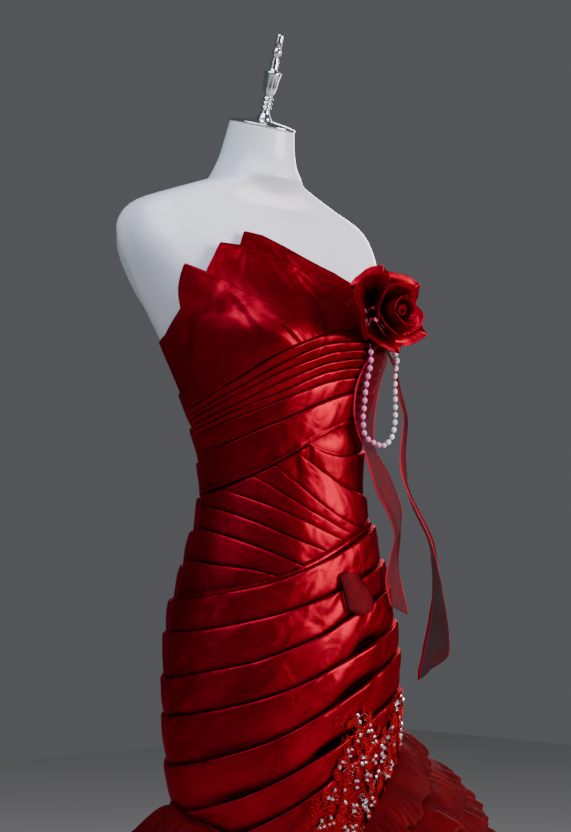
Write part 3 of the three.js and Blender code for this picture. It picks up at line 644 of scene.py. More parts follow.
# Pleated satin panels. Each fold is a row of cross-section points: the share of the way down
# to the next fold, millimetres above its line, and how much of the fold's height it stands out.
foldSection = [
    (0, 0.2, -0.3),
    (0, 0.8, 0.1),
    (0, 1.2, 0.5),
    (0, 1.1, 0.78),
    (0, 0.5, 0.94),
    (0.05, 0, 0.98),
    (0.14, 0, 0.94),
    (0.27, 0, 0.84),
    (0.42, 0, 0.7),
    (0.56, 0, 0.55),
    (0.7, 0, 0.38),
    (0.82, 0, 0.2),
    (0.91, 0, -0.02),
    (1, 1.6, -0.3),
]
# Painted shade: how dark the cloth's colour is made at each of those points, as deep in the fold as it
# lies
foldShade = [1, 0.92, 0.5, 0.14, 0, 0, 0, 0, 0, 0, 0, 0.12, 0.5, 1]


def foldRows(panel):
    rows = [("top", 0, 0, 0, 0), ("above", 0, 0, 0, 0)]
    for k in range(len(panel["lines"])):
        rows += [("fold", k, *section) for section in foldSection]
    rows.append(("bottom", 0, 0, 0, 0))
    return rows


def panelHeights(panel, angle):
    # each fold's height at this angle, kept inside the panel and in order from top to bottom
    margin = panel["lap"] + 3 if panel["lap"] else 0
    top = panel["top"](angle) - margin
    bottom = panel["bottom"](angle) + margin
    count = len(panel["lines"])
    heights = []
    for k, line in enumerate(panel["lines"]):
        wander = panel["wander"] * ripple(angle * 0.035, k * 3.1, panel["seed"])
        z = lineHeight(line, angle) + wander
        heights.append(min(top - 0.5 * (k + 1), max(bottom + 0.5 * (count - k), z)))
    heights.append(bottom)
    return top, heights


def gapeAt(panel, line, angle):
    # how far a fold's upper edge stands open here, from 0 to its depth in millimetres
    return sum(
        deep * math.exp(-(((angle - centre) / width) ** 2))
        for index, centre, width, deep in panel["gapes"]
        if index == line
    )


def panelPoint(panel, rows, angle, row):
    # height, distance out and painted shade of one row of a pleated panel at an angle
    top, heights = panelHeights(panel, angle)
    kind, k, share, above, stand = rows[row]
    if kind == "top":
        return panel["top"](angle), 0, 0
    if kind == "bottom":
        return panel["bottom"](angle), panel["hem"], 0
    if kind == "above":
        highest = panel["top"](angle)
        return highest - min(highest - heights[0], max(0, highest - heights[0] - 5)), 0, 0
    gap = heights[k] - heights[k + 1]
    last = k == len(panel["lines"]) - 1
    lip = min(1, gap / 10)
    dark = foldShade[(row - 2) % len(foldSection)] * smooth(gap / 5)
    if k and share == 0:
        dark = min(dark, smooth((heights[k - 1] - heights[k]) / 4))
    if share == 1 and last:
        above, dark = 0, 0
        stand = max(stand, panel["hem"])
    size = smooth(gap / 6)
    z = mix(heights[k], heights[k + 1], share) + above * lip
    out = panel["height"] * stand * size
    own = gapeAt(panel, k, angle)
    if own and share < 0.6:
        out += 0.45 * own * (1 - share / 0.6) * smooth(stand * 2)
    under = gapeAt(panel, k + 1, angle)
    if under and share > 0.6:
        deep = smooth((share - 0.6) / 0.3)
        out = max(out - under * 0.55 * deep, 0.4 - panel["out"] - satin)
        # painted shade inside an open gape, where this fold runs under the next
        dark = max(dark, min(1, under / 5) * smooth((share - 0.66) / 0.16))
    if panel["lap"]:
        inside = smooth(min(top - heights[k] + 4, heights[k] - heights[-1] + 2) / 10)
        out *= inside
        dark *= inside
    return z, out, dark


def crushAt(panel, angle, z):
    # soft creases that run across the folds, long one way and short the other
    along = angle * 2.6
    lean = panel["lean"]
    long = along * math.cos(lean) + z * math.sin(lean)
    short = z * math.cos(lean) - along * math.sin(lean)
    seed = panel["seed"]
    broad = ripple(long / 60, short / 17, seed + 1)
    fine = ripple(long / 24, short / 8, seed + 2)
    return 1.5 * broad + 0.45 * fine


def pleatedPanel(name, panel, node):
    rows = foldRows(panel)
    last = len(rows) - 1

    def place(u, v):
        angle = mix(panel["from"], panel["to"], u)
        z, out, dark = panelPoint(panel, rows, angle, round((1 - v) * last))
        calm = 0.3 if panel["lap"] else 1
        edge = smooth(min(u, 1 - u) * panel["columns"] / 5)
        soft = crushAt(panel, angle, z) * calm * edge * panel["crush"] * (1 - 0.7 * dark)
        return onFigure(angle, z, max(0.5, panel["out"] + satin + out + soft))

    # the painted shade of each corner, darker deep in the folds
    def shade(u, v):
        angle = mix(panel["from"], panel["to"], u)
        return panelPoint(panel, rows, angle, round((1 - v) * last))[2]

    bm = gridMesh(panel["columns"], last, place, shade=shade)
    piece = finishMesh(bm, name, satinCloth, [node], outward=awayFromAxis)
    thicken(piece, 0.8)


def hipTop(angle):
    return lineHeight(hipWrap[0], angle) + 3


def bandFoot(angle):
    return lineHeight(bandEdge, angle)


def hipFoot(angle):
    return lineHeight(skirtSeam, angle)


seamGap = 0.1  # degrees between two panels at a side seam
zipHalf = 1.8  # degrees from the centre back to the zip strip's edge


def makeFrontPanels():
    common = {
        "from": rightSeam + seamGap,
        "to": leftSeam - seamGap,
        "columns": 170,
        "wander": 2.2,
        "gapes": [],
    }
    band = {
        **common,
        "lines": bustBand,
        "top": lambda angle: lineHeight(bustBand[0], angle) + 5,
        "bottom": bandFoot,
        "out": overlay,
        "lap": 0,
        "height": 4.2,
        "hem": 0.55,
        "seed": 1,
        "crush": 1,
        "lean": 0.9,
    }
    pleatedPanel("bustBandPleats", band, "bust_band")
    cross = {
        **common,
        "lines": waistCross,
        "top": lambda angle: bandFoot(angle) + lap,
        "bottom": lambda angle: hipTop(angle) - lap,
        "out": ease + 0.2,
        "lap": lap,
        "height": 4,
        "hem": 0,
        "seed": 2,
        "crush": 1.1,
        "lean": -0.9,
    }
    pleatedPanel("waistCrossPleats", cross, "waist_cross")
    wrap = {
        **common,
        "lines": hipWrap,
        "top": hipTop,
        "bottom": hipFoot,
        "out": overlay,
        "lap": 0,
        "height": 4.8,
        "hem": 0.1,
        "seed": 3,
        "crush": 1.5,
        "lean": 0.75,
        # each gape: which fold, its middle, how wide, how many millimetres it stands open
        "gapes": [
            (2, 24, 13, 3),
            (3, 18, 11, 9),
            (4, 9, 15, 8),
            (5, -12, 13, 7),
            (4, -64, 18, 3),
            (5, -62, 20, 4),
            (6, -70, 20, 4),
        ],
    }
    pleatedPanel("hipWrapPleatsFront", wrap, "hip_wrap_front")


backTop = [(leftSeam, 1280), (125, 1250), (180, 1236), (235, 1250), (260, 1262)]
# The zip strip: where it starts above the skirt, its half width in degrees, the groove along it
zipStrip = {"foot": lineHeight(skirtSeam, backCentre) - 2, "half": zipHalf, "groove": 0.9, "narrow": 0.09}


def makeBackPanels():
    halves = (
        ("Left", leftSeam + seamGap, backCentre - zipHalf),
        ("Right", backCentre + zipHalf, 360 + rightSeam - seamGap),
    )
    for side, start, end in halves:
        common = {
            "from": start,
            "to": end,
            "columns": 80,
            "wander": 1.6,
            "gapes": [],
            "lap": 0,
            "crush": 1,
            "lean": 0.8,
        }
        bodice = {
            **common,
            "lines": backBodice,
            "top": lambda angle: edgeHeight(backTop, angle),
            "bottom": lambda angle: hipTop(angle) - 8,
            "out": ease,
            "height": 3.8,
            "hem": 0,
            "seed": 4 + (side == "Left"),
        }
        pleatedPanel("backBodicePleats" + side, bodice, "bodice_back_" + side.lower())
        wrap = {
            **common,
            "lines": hipWrap,
            "top": hipTop,
            "bottom": hipFoot,
            "out": overlay,
            "height": 4.4,
            "hem": 0.1,
            "seed": 6 + (side == "Left"),
        }
        pleatedPanel("hipWrapPleats" + side, wrap, "hip_wrap_back_" + side.lower())

    def place(u, v):
        z = mix(zipStrip["foot"], edgeHeight(backTop, backCentre) - 3, v)
        valley = zipStrip["groove"] * math.exp(-(((u - 0.5) / zipStrip["narrow"]) ** 2))
        return onFigure(backCentre + (u - 0.5) * 2 * zipStrip["half"], z, ease + 2 - valley)

    bm = gridMesh(10, 150, place)
    piece = finishMesh(bm, "backZipPlacket", satinCloth, ["back_zip"], outward=awayFromAxis)
    thicken(piece, 0.7)


# Lapped panels over the bust: top edge, where each starts and ends, its place out from the
# figure, how fast it leaves the chest, and soft creases (angle, height, length, depth, lean)
bustFolds = [
    {
        "name": "bustFoldFirst",
        "node": "bust_fold_1",
        "edge": [
            (-46, 1382), (-43, 1407), (-30, 1404), (-5, 1387), (29, 1364), (48, 1345), (70, 1312),
            (95, 1280),
        ],
        "out": 2,
        "lean": 0.08,
        "columns": 150,
        "flat": (0.3, 0.08),
        "creases": [
            (-20, 1372, 34, 1.6, -0.5),
            (-2, 1350, 44, 2, -0.9),
            (12, 1325, 40, 1.8, -0.6),
            (30, 1310, 30, 1.4, 0.4),
        ],
    },
    {
        "name": "bustFoldSecond",
        "node": "bust_fold_2",
        "edge": [
            (-60, 1346), (-57, 1364), (-54, 1386), (-45, 1385), (-29, 1379), (-12, 1368), (6, 1346),
            (24, 1318),
        ],
        "out": 4.6,
        "lean": 0.12,
        "columns": 120,
        "flat": (0.2, 0.11),
        "creases": [
            (-46, 1362, 26, 1.6, 0.2),
            (-24, 1348, 30, 1.8, -0.6),
            (-4, 1330, 34, 1.6, -0.8),
        ],
    },
    {
        "name": "bustFoldThird",
        "node": "bust_fold_3",
        "edge": [
            (-100, 1262), (-91, 1270), (-83, 1284), (-75, 1299), (-71, 1324), (-66, 1354), (-55, 1337),
            (-44, 1316), (-20, 1292), (-4, 1281),
        ],
        "out": 8,
        "lean": 0.16,
        "columns": 140,
        "flat": (0.22, 0.12),
        "creases": [
            (-60, 1312, 34, 2, 0.5),
            (-48, 1286, 40, 2.2, -0.4),
            (-30, 1268, 34, 1.8, -0.9),
            (-78, 1262, 30, 1.8, 0.5),
        ],
    },
]
# The rolled upper edge of such a panel: up from its line, and out from its face
lipSection = [
    (-9, -2.4), (-4, -2.6), (-1.4, -2.3), (-0.3, -1.5), (0, -0.7), (-0.5, 0.1), (-1.8, 0.4), (-4, 0.3),
    (-7, 0),
]


def creaseDepth(creases, angle, z):
    deep = 0
    for centre, height, length, depth, lean in creases:
        along = (z - height) / length
        across = (angle - centre) * 2.4 - lean * (z - height)
        if abs(along) < 1:
            # a narrow trough with a lower ridge beside it
            trough = math.exp(-((across / 6) ** 2))
            ridge = 0.5 * math.exp(-(((across - 9) / 7) ** 2))
            deep += depth * (1 - along * along) ** 2 * (trough - ridge)
    return deep


def makeBustFolds():
    for k, fold in enumerate(bustFolds):
        cover = bustFolds[k + 1] if k + 1 < len(bustFolds) else None
        start, end = fold["edge"][0][0], fold["edge"][-1][0]
        faceRows = 30
        rows = len(lipSection) - 1 + faceRows

        def place(u, v, fold=fold, cover=cover, start=start, end=end, rows=rows):
            angle = mix(start, end, u)
            top = edgeHeight(fold["edge"], angle)
            band = lineHeight(bustBand[0], angle) + 3
            hidden = band
            if cover and cover["edge"][0][0] < angle < cover["edge"][-1][0]:
                hidden = edgeHeight(cover["edge"], angle) - 26
            bottom = min(top - 10, max(band, hidden))
            row = round((1 - v) * rows)
            size = min(1, (top - bottom) / 24)
            if row < len(lipSection):
                drop, shift = lipSection[row]
                z, roll = top + drop * size, shift * size
            else:
                share = (row - len(lipSection) + 1) / faceRows
                z, roll = mix(top - 7 * size, bottom, share), 0
            leave = fold["lean"] * max(0, z - 1290) + 2.5 * smooth((z - 1290) / 30)
            soft = 0.8 * ripple(angle / 14, z / 26, k + 11) + 0.3 * ripple(angle / 5, z / 10, k + 14)
            out = fold["out"] + satin + leave + roll + soft - creaseDepth(fold["creases"], angle, z)
            return onFigure(angle, z, max(out, 2.4))

        bm = gridMesh(fold["columns"], rows, place)
        piece = finishMesh(bm, fold["name"], satinCloth, [fold["node"]], outward=awayFromAxis)
        thicken(piece, 0.7)


makeForm()
makeNeckTop()
makeStand()
print("stage: display form")
makeBustFolds()
makeFrontPanels()
makeBackPanels()
print("stage: satin panels")

# Satin rose on the wearer's left bust: rings of petals round a rolled heart. A profile's rows
# are the share of the way up the petal, its distance from the rose's axis, and its height
rose = {
    "angle": 31,
    "z": 1306,
    "out": 37,
    "faces": 10,
    "tall": 0.82,
    "spread": 1.16,
    "columns": 40,
    "rows": 28,
    "cloth": 0.9,
}
petalRings = [
    {
        "name": "Inner",
        "count": 3,
        "turn": 20,
        "curl": 2.2,
        "rim": 3,
        "tip": 1.5,
        "roll": 3,
        "flat": (0.045, 0.03),
        "grow": 1,
        "drawn": 0,
        "profile": [(0, 11.7, 3), (0.33, 17, 14), (0.67, 19, 27), (1, 17, 38)],
    },
    {
        "name": "Middle",
        "count": 4,
        "turn": 65,
        "curl": 2.6,
        "rim": 8,
        "tip": 1.05,
        "roll": 3.6,
        "flat": (0.055, 0.04),
        "grow": 1.06,
        "drawn": 0.12,
        "profile": [(0, 12, -4), (0.33, 26, 9), (0.67, 34, 22), (1, 37, 33)],
    },
    {
        "name": "Outer",
        "count": 5,
        "turn": 46,
        "curl": 4.6,
        "rim": 14,
        "tip": 0.8,
        "roll": 4,
        "flat": (0.075, 0.055),
        "grow": 1.1,
        "drawn": 0.3,
        "profile": [(0, 12, -11), (0.33, 36, 1), (0.67, 47, 9), (1, 55, 17)],
    },
]
# The heart is a strip rolled up: its turns are in degrees, and it grows by a millimetre in "grows"
heart = {"foot": -25.8, "tip": 34, "start": 2.6, "turns": 560, "grows": 90, "columns": 110, "rows": 12}


def roseSpot(angle, radius, height):
    turn, facing = math.radians(angle), math.radians(rose["faces"])
    axis = Vector((math.sin(facing), -math.cos(facing), 0))
    side = Vector((math.cos(facing), math.sin(facing), 0))
    centre = onFigure(rose["angle"], rose["z"], rose["out"])
    lift = Vector((0, 0, rose["tall"] * radius * math.sin(turn)))
    return centre + (axis * height + side * radius * math.cos(turn) + lift) * mm


def petalShade(u, v):
    # painted shade, dark deep between the petals
    return 0.9 * smooth((0.7 - v) / 0.55)


def heartShade(u, v):
    # painted shade, darker below the rolled heart's top edge
    return smooth((0.98 - v) / 0.3)


def makeRose():
    for ring in petalRings:
        width = 360 / ring["count"] * rose["spread"]
        for k in range(ring["count"]):
            centre = ring["turn"] + 360 * k / ring["count"]
            seed = 20 + k * 1.7 + ring["count"]

            def place(u, v, ring=ring, width=width, centre=centre, seed=seed):
                side = 2 * u - 1
                radius = curveThrough(ring["profile"], v, 1) * mix(1, ring["grow"], v)
                height = curveThrough(ring["profile"], v, 2)
                narrow = mix(0.8, 1, math.sin(v * 2.2))
                point = ring["rim"] * v * (1 - 1.6 * abs(side) ** ring["tip"])
                angle = centre + side * width * narrow / 2
                drawn = max(0, math.cos(math.radians(angle - 160))) ** 2
                radius *= 1 + ring["drawn"] * v * drawn
                radius += ring["curl"] * mix(0.5, 1, v) * side
                lip = smooth((v - 0.72) / 0.28)
                wave = ripple(side * 1.9, v * 1.2, seed)
                crumple = 1.6 * ripple(side * 3.4, v * 1.6, seed + 5)
                crumple += 0.7 * ripple(side * 8, v * 3, seed + 6)
                radius += lip * ring["roll"] * (1 + 1.2 * wave) + crumple * v
                radius += 0.35 * point
                height += point - lip * lip * ring["roll"] * 0.8 + 4 * wave * v * v
                return roseSpot(angle, radius, height)

            bm = gridMesh(rose["columns"], rose["rows"], place, shade=petalShade)
            name = "rosePetal" + ring["name"] + str(k + 1)
            node = "rose_petal_" + ring["name"].lower() + "_" + str(k + 1)
            piece = finishMesh(bm, name, satinCloth, [node])
            thicken(piece, rose["cloth"], offset=0)

    def roll(u, v):
        turn = heart["turns"] * u
        height = mix(heart["foot"], heart["tip"], v) + 2.5 * v * math.sin(math.radians(turn * 0.9))
        return roseSpot(turn, heart["start"] + turn / heart["grows"] + 1.4 * v * v, height)

    bm = gridMesh(heart["columns"], heart["rows"], roll, shade=heartShade)
    piece = finishMesh(bm, "roseHeart", satinCloth, ["rose_heart"])
    thicken(piece, rose["cloth"], offset=0)


# Sheer ribbon below the rose: height, then the angle and place of the near and the far edge
tails = [
    {
        "name": "ribbonTailLong",
        "node": "ribbon_tail_long",
        "flat": (0.045, 0.48),
        "slant": -34,
        "rows": [
            (838, 56, 66, 68, 36),
            (864, 52, 79, 70, 46),
            (903, 52, 79, 70, 60),
            (954, 52, 80, 68, 73),
            (1001, 52, 81, 66, 80),
            (1045, 52, 71, 66, 71),
            (1098, 52, 56, 66, 65),
            (1167, 52, 55, 66, 60),
            (1205, 52, 42, 64, 46),
            (1243, 52, 25, 63, 28),
            (1264, 52, 11.2, 58, 11.2),
        ],
    },
    {
        "name": "ribbonTailWide",
        "node": "ribbon_tail_wide",
        "flat": (0.03, 0.36),
        "slant": -14,
        "rows": [
            (915, 41, 16, 50, 30),
            (957, 41, 17, 50, 30),
            (985, 45, 24, 50, 33),
            (1016, 46, 37, 50, 42),
            (1050, 43, 33, 51, 52),
            (1092, 38, 24, 50, 42),
            (1129, 35, 14, 49, 23),
            (1150, 26, 13, 47, 21),
            (1191, 22, 12.5, 46, 20),
            (1243, 24.5, 12.4, 46, 15),
            (1262, 28, 12, 45, 12),
        ],
    },
    {
        "name": "ribbonLoop",
        "node": "ribbon_loop",
        "flat": (0.055, 0.06),
        "slant": 0,
        "rows": [
            (912, 8, 12.5, 15, 13),
            (918, 1.5, 13, 21, 14),
            (930, -0.5, 13, 24, 14),
            (945, -2, 13, 20, 14),
            (960, -3, 11.6, 15, 11.6),
            (966, 0, 11.6, 11, 11.6),
        ],
    },
]


def makeTails():
    for index, tail in enumerate(tails):
        rows, slant = tail["rows"], tail["slant"]
        columns, count = 20, 110 if slant else 30

        def place(u, v, rows=rows, index=index, slant=slant):
            # the lower end is cut at a slant
            z = mix(rows[0][0] + slant * (u - 0.5), rows[-1][0], v)
            near, nearOut, far, farOut = (curveThrough(rows, z, column) for column in (1, 2, 3, 4))
            crisp = 1 if slant else 0.3
            soft = 3 * ripple(u * 2.4, z / 50, 40 + index) + 0.8 * ripple(u * 7, z / 22, 43 + index)
            soft = crisp * (soft + 0.7 * math.sin(9 * u + z / 34) * smooth((rows[-1][0] - z) / 60))
            bow = 3 * math.sin(u * math.pi)
            return onFigure(mix(near, far, u), z, mix(nearOut, farOut, u) + bow + soft + 0.5)

        bm = gridMesh(columns, count, place)
        cloth = tailOrganza if slant else loopOrganza
        piece = finishMesh(bm, tail["name"], cloth, [tail["node"]])
        thicken(piece, 0.25, offset=0)


# Strand of glass pearls hung in one loop from the rose: angle, height, distance out
strand = {
    "pearl": 7,
    "longer": 1.15,
    "pitch": 10.6,
    "thread": 1.3,
    "points": [
        (23.5, 1262, 14.2),
        (25, 1238, 19),
        (26, 1209, 22),
        (26, 1179, 23),
        (26, 1160, 23),
        (28, 1142, 25),
        (34, 1134, 30),
        (42, 1131, 38),
        (47, 1142, 45),
        (49, 1160, 46.5),
        (50, 1177, 45),
        (50, 1205, 40),
        (50, 1228, 33),
        (50, 1253, 26),
        (49, 1264, 14),
    ],
}


def curvePoint(points, along):
    # a point of the smooth curve through these points, from 0 at the first to 1 at the last
    place = min(0.99999, max(0, along)) * (len(points) - 1)
    i = int(place)
    t = place - i
    before, start, end = points[max(0, i - 1)], points[i], points[i + 1]
    after = points[min(len(points) - 1, i + 2)]
    leave, arrive = (end - before) / 2, (after - start) / 2
    return (
        start * (2 * t**3 - 3 * t**2 + 1)
        + leave * (t**3 - 2 * t**2 + t)
        + end * (3 * t**2 - 2 * t**3)
        + arrive * (t**3 - t**2)
    )


def evenPoints(points, step):
    # the same curve as points about a step apart
    fine = [curvePoint(points, i / 600) for i in range(601)]
    run = [0]
    for a, b in zip(fine, fine[1:]):
        run.append(run[-1] + (b - a).length)
    count = max(2, round(run[-1] / step))
    even, j = [], 0
    for i in range(count + 1):
        target = run[-1] * i / count
        while j < 599 and run[j + 1] < target:
            j += 1
        even.append(fine[j].lerp(fine[j + 1], (target - run[j]) / max(1e-9, run[j + 1] - run[j])))
    return even, run[-1]


def cordMesh(name, lines, radius, sides=2):
    # round cord along each line of points, as one mesh
    data = bpy.data.curves.new(name, "CURVE")
    data.dimensions = "3D"
    data.bevel_depth = radius * mm
    data.bevel_resolution = sides
    data.use_fill_caps = True
    for line in lines:
        spline = data.splines.new("POLY")
        spline.points.add(len(line) - 1)
        for point, spot in zip(spline.points, line):
            point.co = (*spot, 1)
    holder = bpy.data.objects.new(name, data)
    bpy.context.scene.collection.objects.link(holder)
    graph = bpy.context.evaluated_depsgraph_get()
    mesh = bpy.data.meshes.new_from_object(holder.evaluated_get(graph))
    bpy.data.objects.remove(holder)
    bm = bmesh.new()
    bm.from_mesh(mesh)
    bpy.data.meshes.remove(mesh)
    bmesh.ops.remove_doubles(bm, verts=bm.verts, dist=1e-7)
    bmesh.ops.recalc_face_normals(bm, faces=bm.faces)
    return bm


def makeStrand():
    points = [onFigure(*row) for row in strand["points"]]
    line, length = evenPoints(points, 0.002)
    bm = cordMesh("pearlThread", [line], strand["thread"] / 2)
    threadBody = finishMesh(bm, "pearlThread", threadNylon, ["pearl_strand"])
    spots = evenPoints(points, strand["pitch"] * mm)[0]
    bm = bmesh.new()
    for before, spot, after in zip(spots, spots[1:], spots[2:]):
        along = (after - before).to_track_quat("Z", "X").to_matrix().to_4x4()
        where = Matrix.Translation(spot) @ along @ Matrix.Diagonal((1, 1, strand["longer"], 1))
        radius = strand["pearl"] / 2 * mm
        bmesh.ops.create_uvsphere(bm, u_segments=24, v_segments=16, radius=radius, matrix=where)
    pearls = finishMesh(bm, "pearls", pearlGlass, ["pearl_strand"])
    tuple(line[0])
    [tuple(p) for p in line]
    print("stage: pearl strand, length", round(length, 4))


# Flared skirt below the seam, and the ruffles sewn round its head
skirt = {
    "columns": 640,
    "rows": 46,
    "spread": 385,
    "flutes": 14,
    "flute": 26,
    "gathers": 56,
    "fineFolds": 43,
    "hemClear": 3,
    "cloth": 0.5,
}
ruffleCloth = {"columns": 720, "rows": 14, "waves": 26, "smallWaves": 67, "cloth": 0.4}
# Each ruffle: its top and hem below the seam, how far its hem stands out, its flat size
ruffles = [
    (3, 40, 47, (1.5, 0.05)),
    (40, 76, 95, (1.9, 0.06)),
    (68, 104, 122, (2.1, 0.065)),
    (97, 133, 140, (2.2, 0.065)),
]


def skirtRadius(angle, z):
    seam = lineHeight(skirtSeam, angle)
    share = max(0, seam - z) / seam
    flute = skirt["flute"] * share * math.cos(skirt["flutes"] * math.radians(angle))
    return skinRadius(angle, seam) + overlay + skirt["spread"] * share**0.95 + flute


def roundAxis(angle, radius, z):
    turn = math.radians(angle)
    return Vector((radius * math.sin(turn), -radius * math.cos(turn), z)) * mm


def ringRipple(angle, across, seed, scale):
    # noise that meets itself after a full turn
    turn = math.radians(angle)
    return noise.noise(Vector((math.sin(turn) * scale, math.cos(turn) * scale, across + seed * 5.1)))


def makeSkirt():
    def place(u, v):
        angle = u * 360 - 180
        seam = lineHeight(skirtSeam, angle)
        share = v**1.15
        z = mix(seam - 0.6, skirt["hemClear"], share)
        gather = 1.3 * math.sin(math.radians(angle * skirt["gathers"] + 90 * ringRipple(angle, 0, 5, 6)))
        sway = 6 * ringRipple(angle, share * 0.5, 52, 5)
        soft = 7 * share * ringRipple(angle, share * 1.2, 50, 9)
        soft += 4 * share * ringRipple(angle, share * 1.6, 51, 24)
        soft += 2.6 * share**0.7 * math.sin(math.radians(skirt["fineFolds"] * angle) + sway)
        fine = gather * smooth(share / 0.06) * (1 - smooth(share / 0.5))
        return roundAxis(angle, skirtRadius(angle, z) + satin * 0.5 + soft + fine, z)

    bm = gridMesh(skirt["columns"], skirt["rows"], place, ring=True)
    nodes = ["skirt_right", "skirt_front", "skirt_left", "skirt_back"]
    piece = finishMesh(bm, "organzaSkirt", skirtOrganza, nodes, outward=awayFromAxis)
    thicken(piece, skirt["cloth"], offset=0)


def makeRuffles():
    for k, (top, hem, reach, flat) in enumerate(ruffles):

        def place(u, v, top=top, hem=hem, reach=reach, k=k):
            # soft uneven waves, crisp narrow creases down the cloth, and a hem that wanders
            angle = u * 360 - 180
            seam = lineHeight(skirtSeam, angle)
            turn = math.radians(angle)
            drift = 2.6 * ringRipple(angle, k, 60, 4)
            uneven = 0.75 + 0.9 * ringRipple(angle, k, 64, 7)
            wave = uneven * math.sin(ruffleCloth["waves"] * turn + drift + 1.7 * k)
            small = math.sin(ruffleCloth["smallWaves"] * turn + 5 * ringRipple(angle, v * 0.6 + k, 61, 9))
            crease = 1 - 2 * abs(ringRipple(angle, v * 0.5 + k, 65, 30))
            wild = ringRipple(angle, v * 1.4 + k, 62, 17)
            rise = 5.5 * wave + 1.4 * small + 8 * wild + 3 * crease
            z = seam - mix(top, hem, v**1.5) + v * rise - 3 * v
            foot = skirtRadius(angle, seam - top) + 1.5
            edge = skinRadius(angle, seam) + overlay + reach
            sway = 1.6 * small + 9 * ringRipple(angle, v + k, 63, 13) - 2 * wave + 2 * crease
            return roundAxis(angle, mix(foot, edge, v) + v * sway, z)

        bm = gridMesh(ruffleCloth["columns"], ruffleCloth["rows"], place, ring=True)
        name = "organzaRuffle" + str(k + 1)
        piece = finishMesh(bm, name, ruffleOrganza, ["ruffle_" + str(k + 1)])
        thicken(piece, ruffleCloth["cloth"], offset=0)


# Corded lace above the skirt seam: the outline of its upper edge as angle and height, the sizes
# of its motifs, stones and beads in millimetres, and how often a motif is a leaf or a flower
lace = {
    "out": overlay + satin + 5.2,
    "upper": [
        (-41, 610), (-30, 646), (-19, 683), (-11, 708), (-6, 735), (-5, 788), (15, 793), (20, 772),
        (34, 774), (41, 792), (50, 808), (64, 808), (74, 796),
    ],
    "from": -43,
    "to": 76,
    "pitch": 9.6,
    "reach": 2.75,
    "cord": 0.5,
    "seed": 4,
    "low": 606,
    "tall": 220,
    "leaves": 0.42,
    "flowers": 0.24,
    "leaf": (12, 20),
    "petal": (5, 7.5),
    "curl": (20, 34),
    "beaded": 0.35,
    "bead": 0.6,
    "filling": 0.4,
    "stoneGrid": 24,
    "stone": (2.1, 3.3),
}


def laceSpot(angle, z, lift=0):
    return onFigure(angle, z, lace["out"] + lift)


def motifLine(centre, shape):
    # a line given in millimetres about a centre, laid over the hip
    angle, z = centre
    return [laceSpot(angle + x / lace["reach"], z + y, lift) for x, y, lift in shape]


def leafShape(length, width, turn, lift):
    c, s = math.cos(turn), math.sin(turn)
    loop = []
    for i in range(15):
        t = i / 14 * 2 * math.pi
        along = length * (0.5 - 0.5 * math.cos(t))
        across = width * 0.5 * math.sin(t) * math.sin(t / 2) ** 0.6
        loop.append((along * c - across * s, along * s + across * c, lift + 0.5 * math.sin(t / 2)))
    return loop


def curlShape(length, turn, bend, lift):
    line = []
    x = y = 0
    for i in range(14):
        heading = turn + bend * (i / 13) ** 2
        line.append((x, y, lift))
        x += length / 13 * math.cos(heading)
        y += length / 13 * math.sin(heading)
    return line


def insideLace(angle, z):
    low = lineHeight(skirtSeam, angle) + 3
    return low < z < edgeHeight(lace["upper"], angle) - 3


def laceCentres(rng, pitch):
    # spots about a pitch apart all over the lace
    centres = []
    step = pitch / lace["reach"]
    for row in range(int(lace["tall"] / pitch)):
        for column in range(int((lace["to"] - lace["from"]) / step)):
            angle = lace["from"] + (column + 0.5 * (row % 2) + rng.uniform(-0.35, 0.35)) * step
            z = lace["low"] + (row + rng.uniform(-0.35, 0.35)) * pitch
            if insideLace(angle, z):
                centres.append((angle, z))
    return centres


def addStone(bm, rng, angle, z, size):
    # an oval cut stone in its setting
    spot = laceSpot(angle, z, 1.2)
    out = Vector((math.sin(math.radians(angle)), -math.cos(math.radians(angle)), 0))
    facing = out.to_track_quat("Z", "Y").to_matrix().to_4x4()
    edgeShare = Matrix.Translation(spot) @ facing @ Matrix.Rotation(rng.uniform(0, 3), 4, "Z")
    longer = Matrix.Diagonal((1.25, 0.9, 1, 1))
    bmesh.ops.create_cone(
        bm,
        cap_ends=True,
        segments=8,
        radius1=size * mm,
        radius2=size * 0.55 * mm,
        depth=size * 0.9 * mm,
        matrix=edgeShare @ longer,
    )


def fillShape(bm, centre, shape):
    # the stitched filling inside a leaf or a petal, just under its cord
    sunk = [(x, y, lift - lace["filling"]) for x, y, lift in shape[:-1]]
    bm.faces.new([bm.verts.new(spot) for spot in motifLine(centre, sunk)])


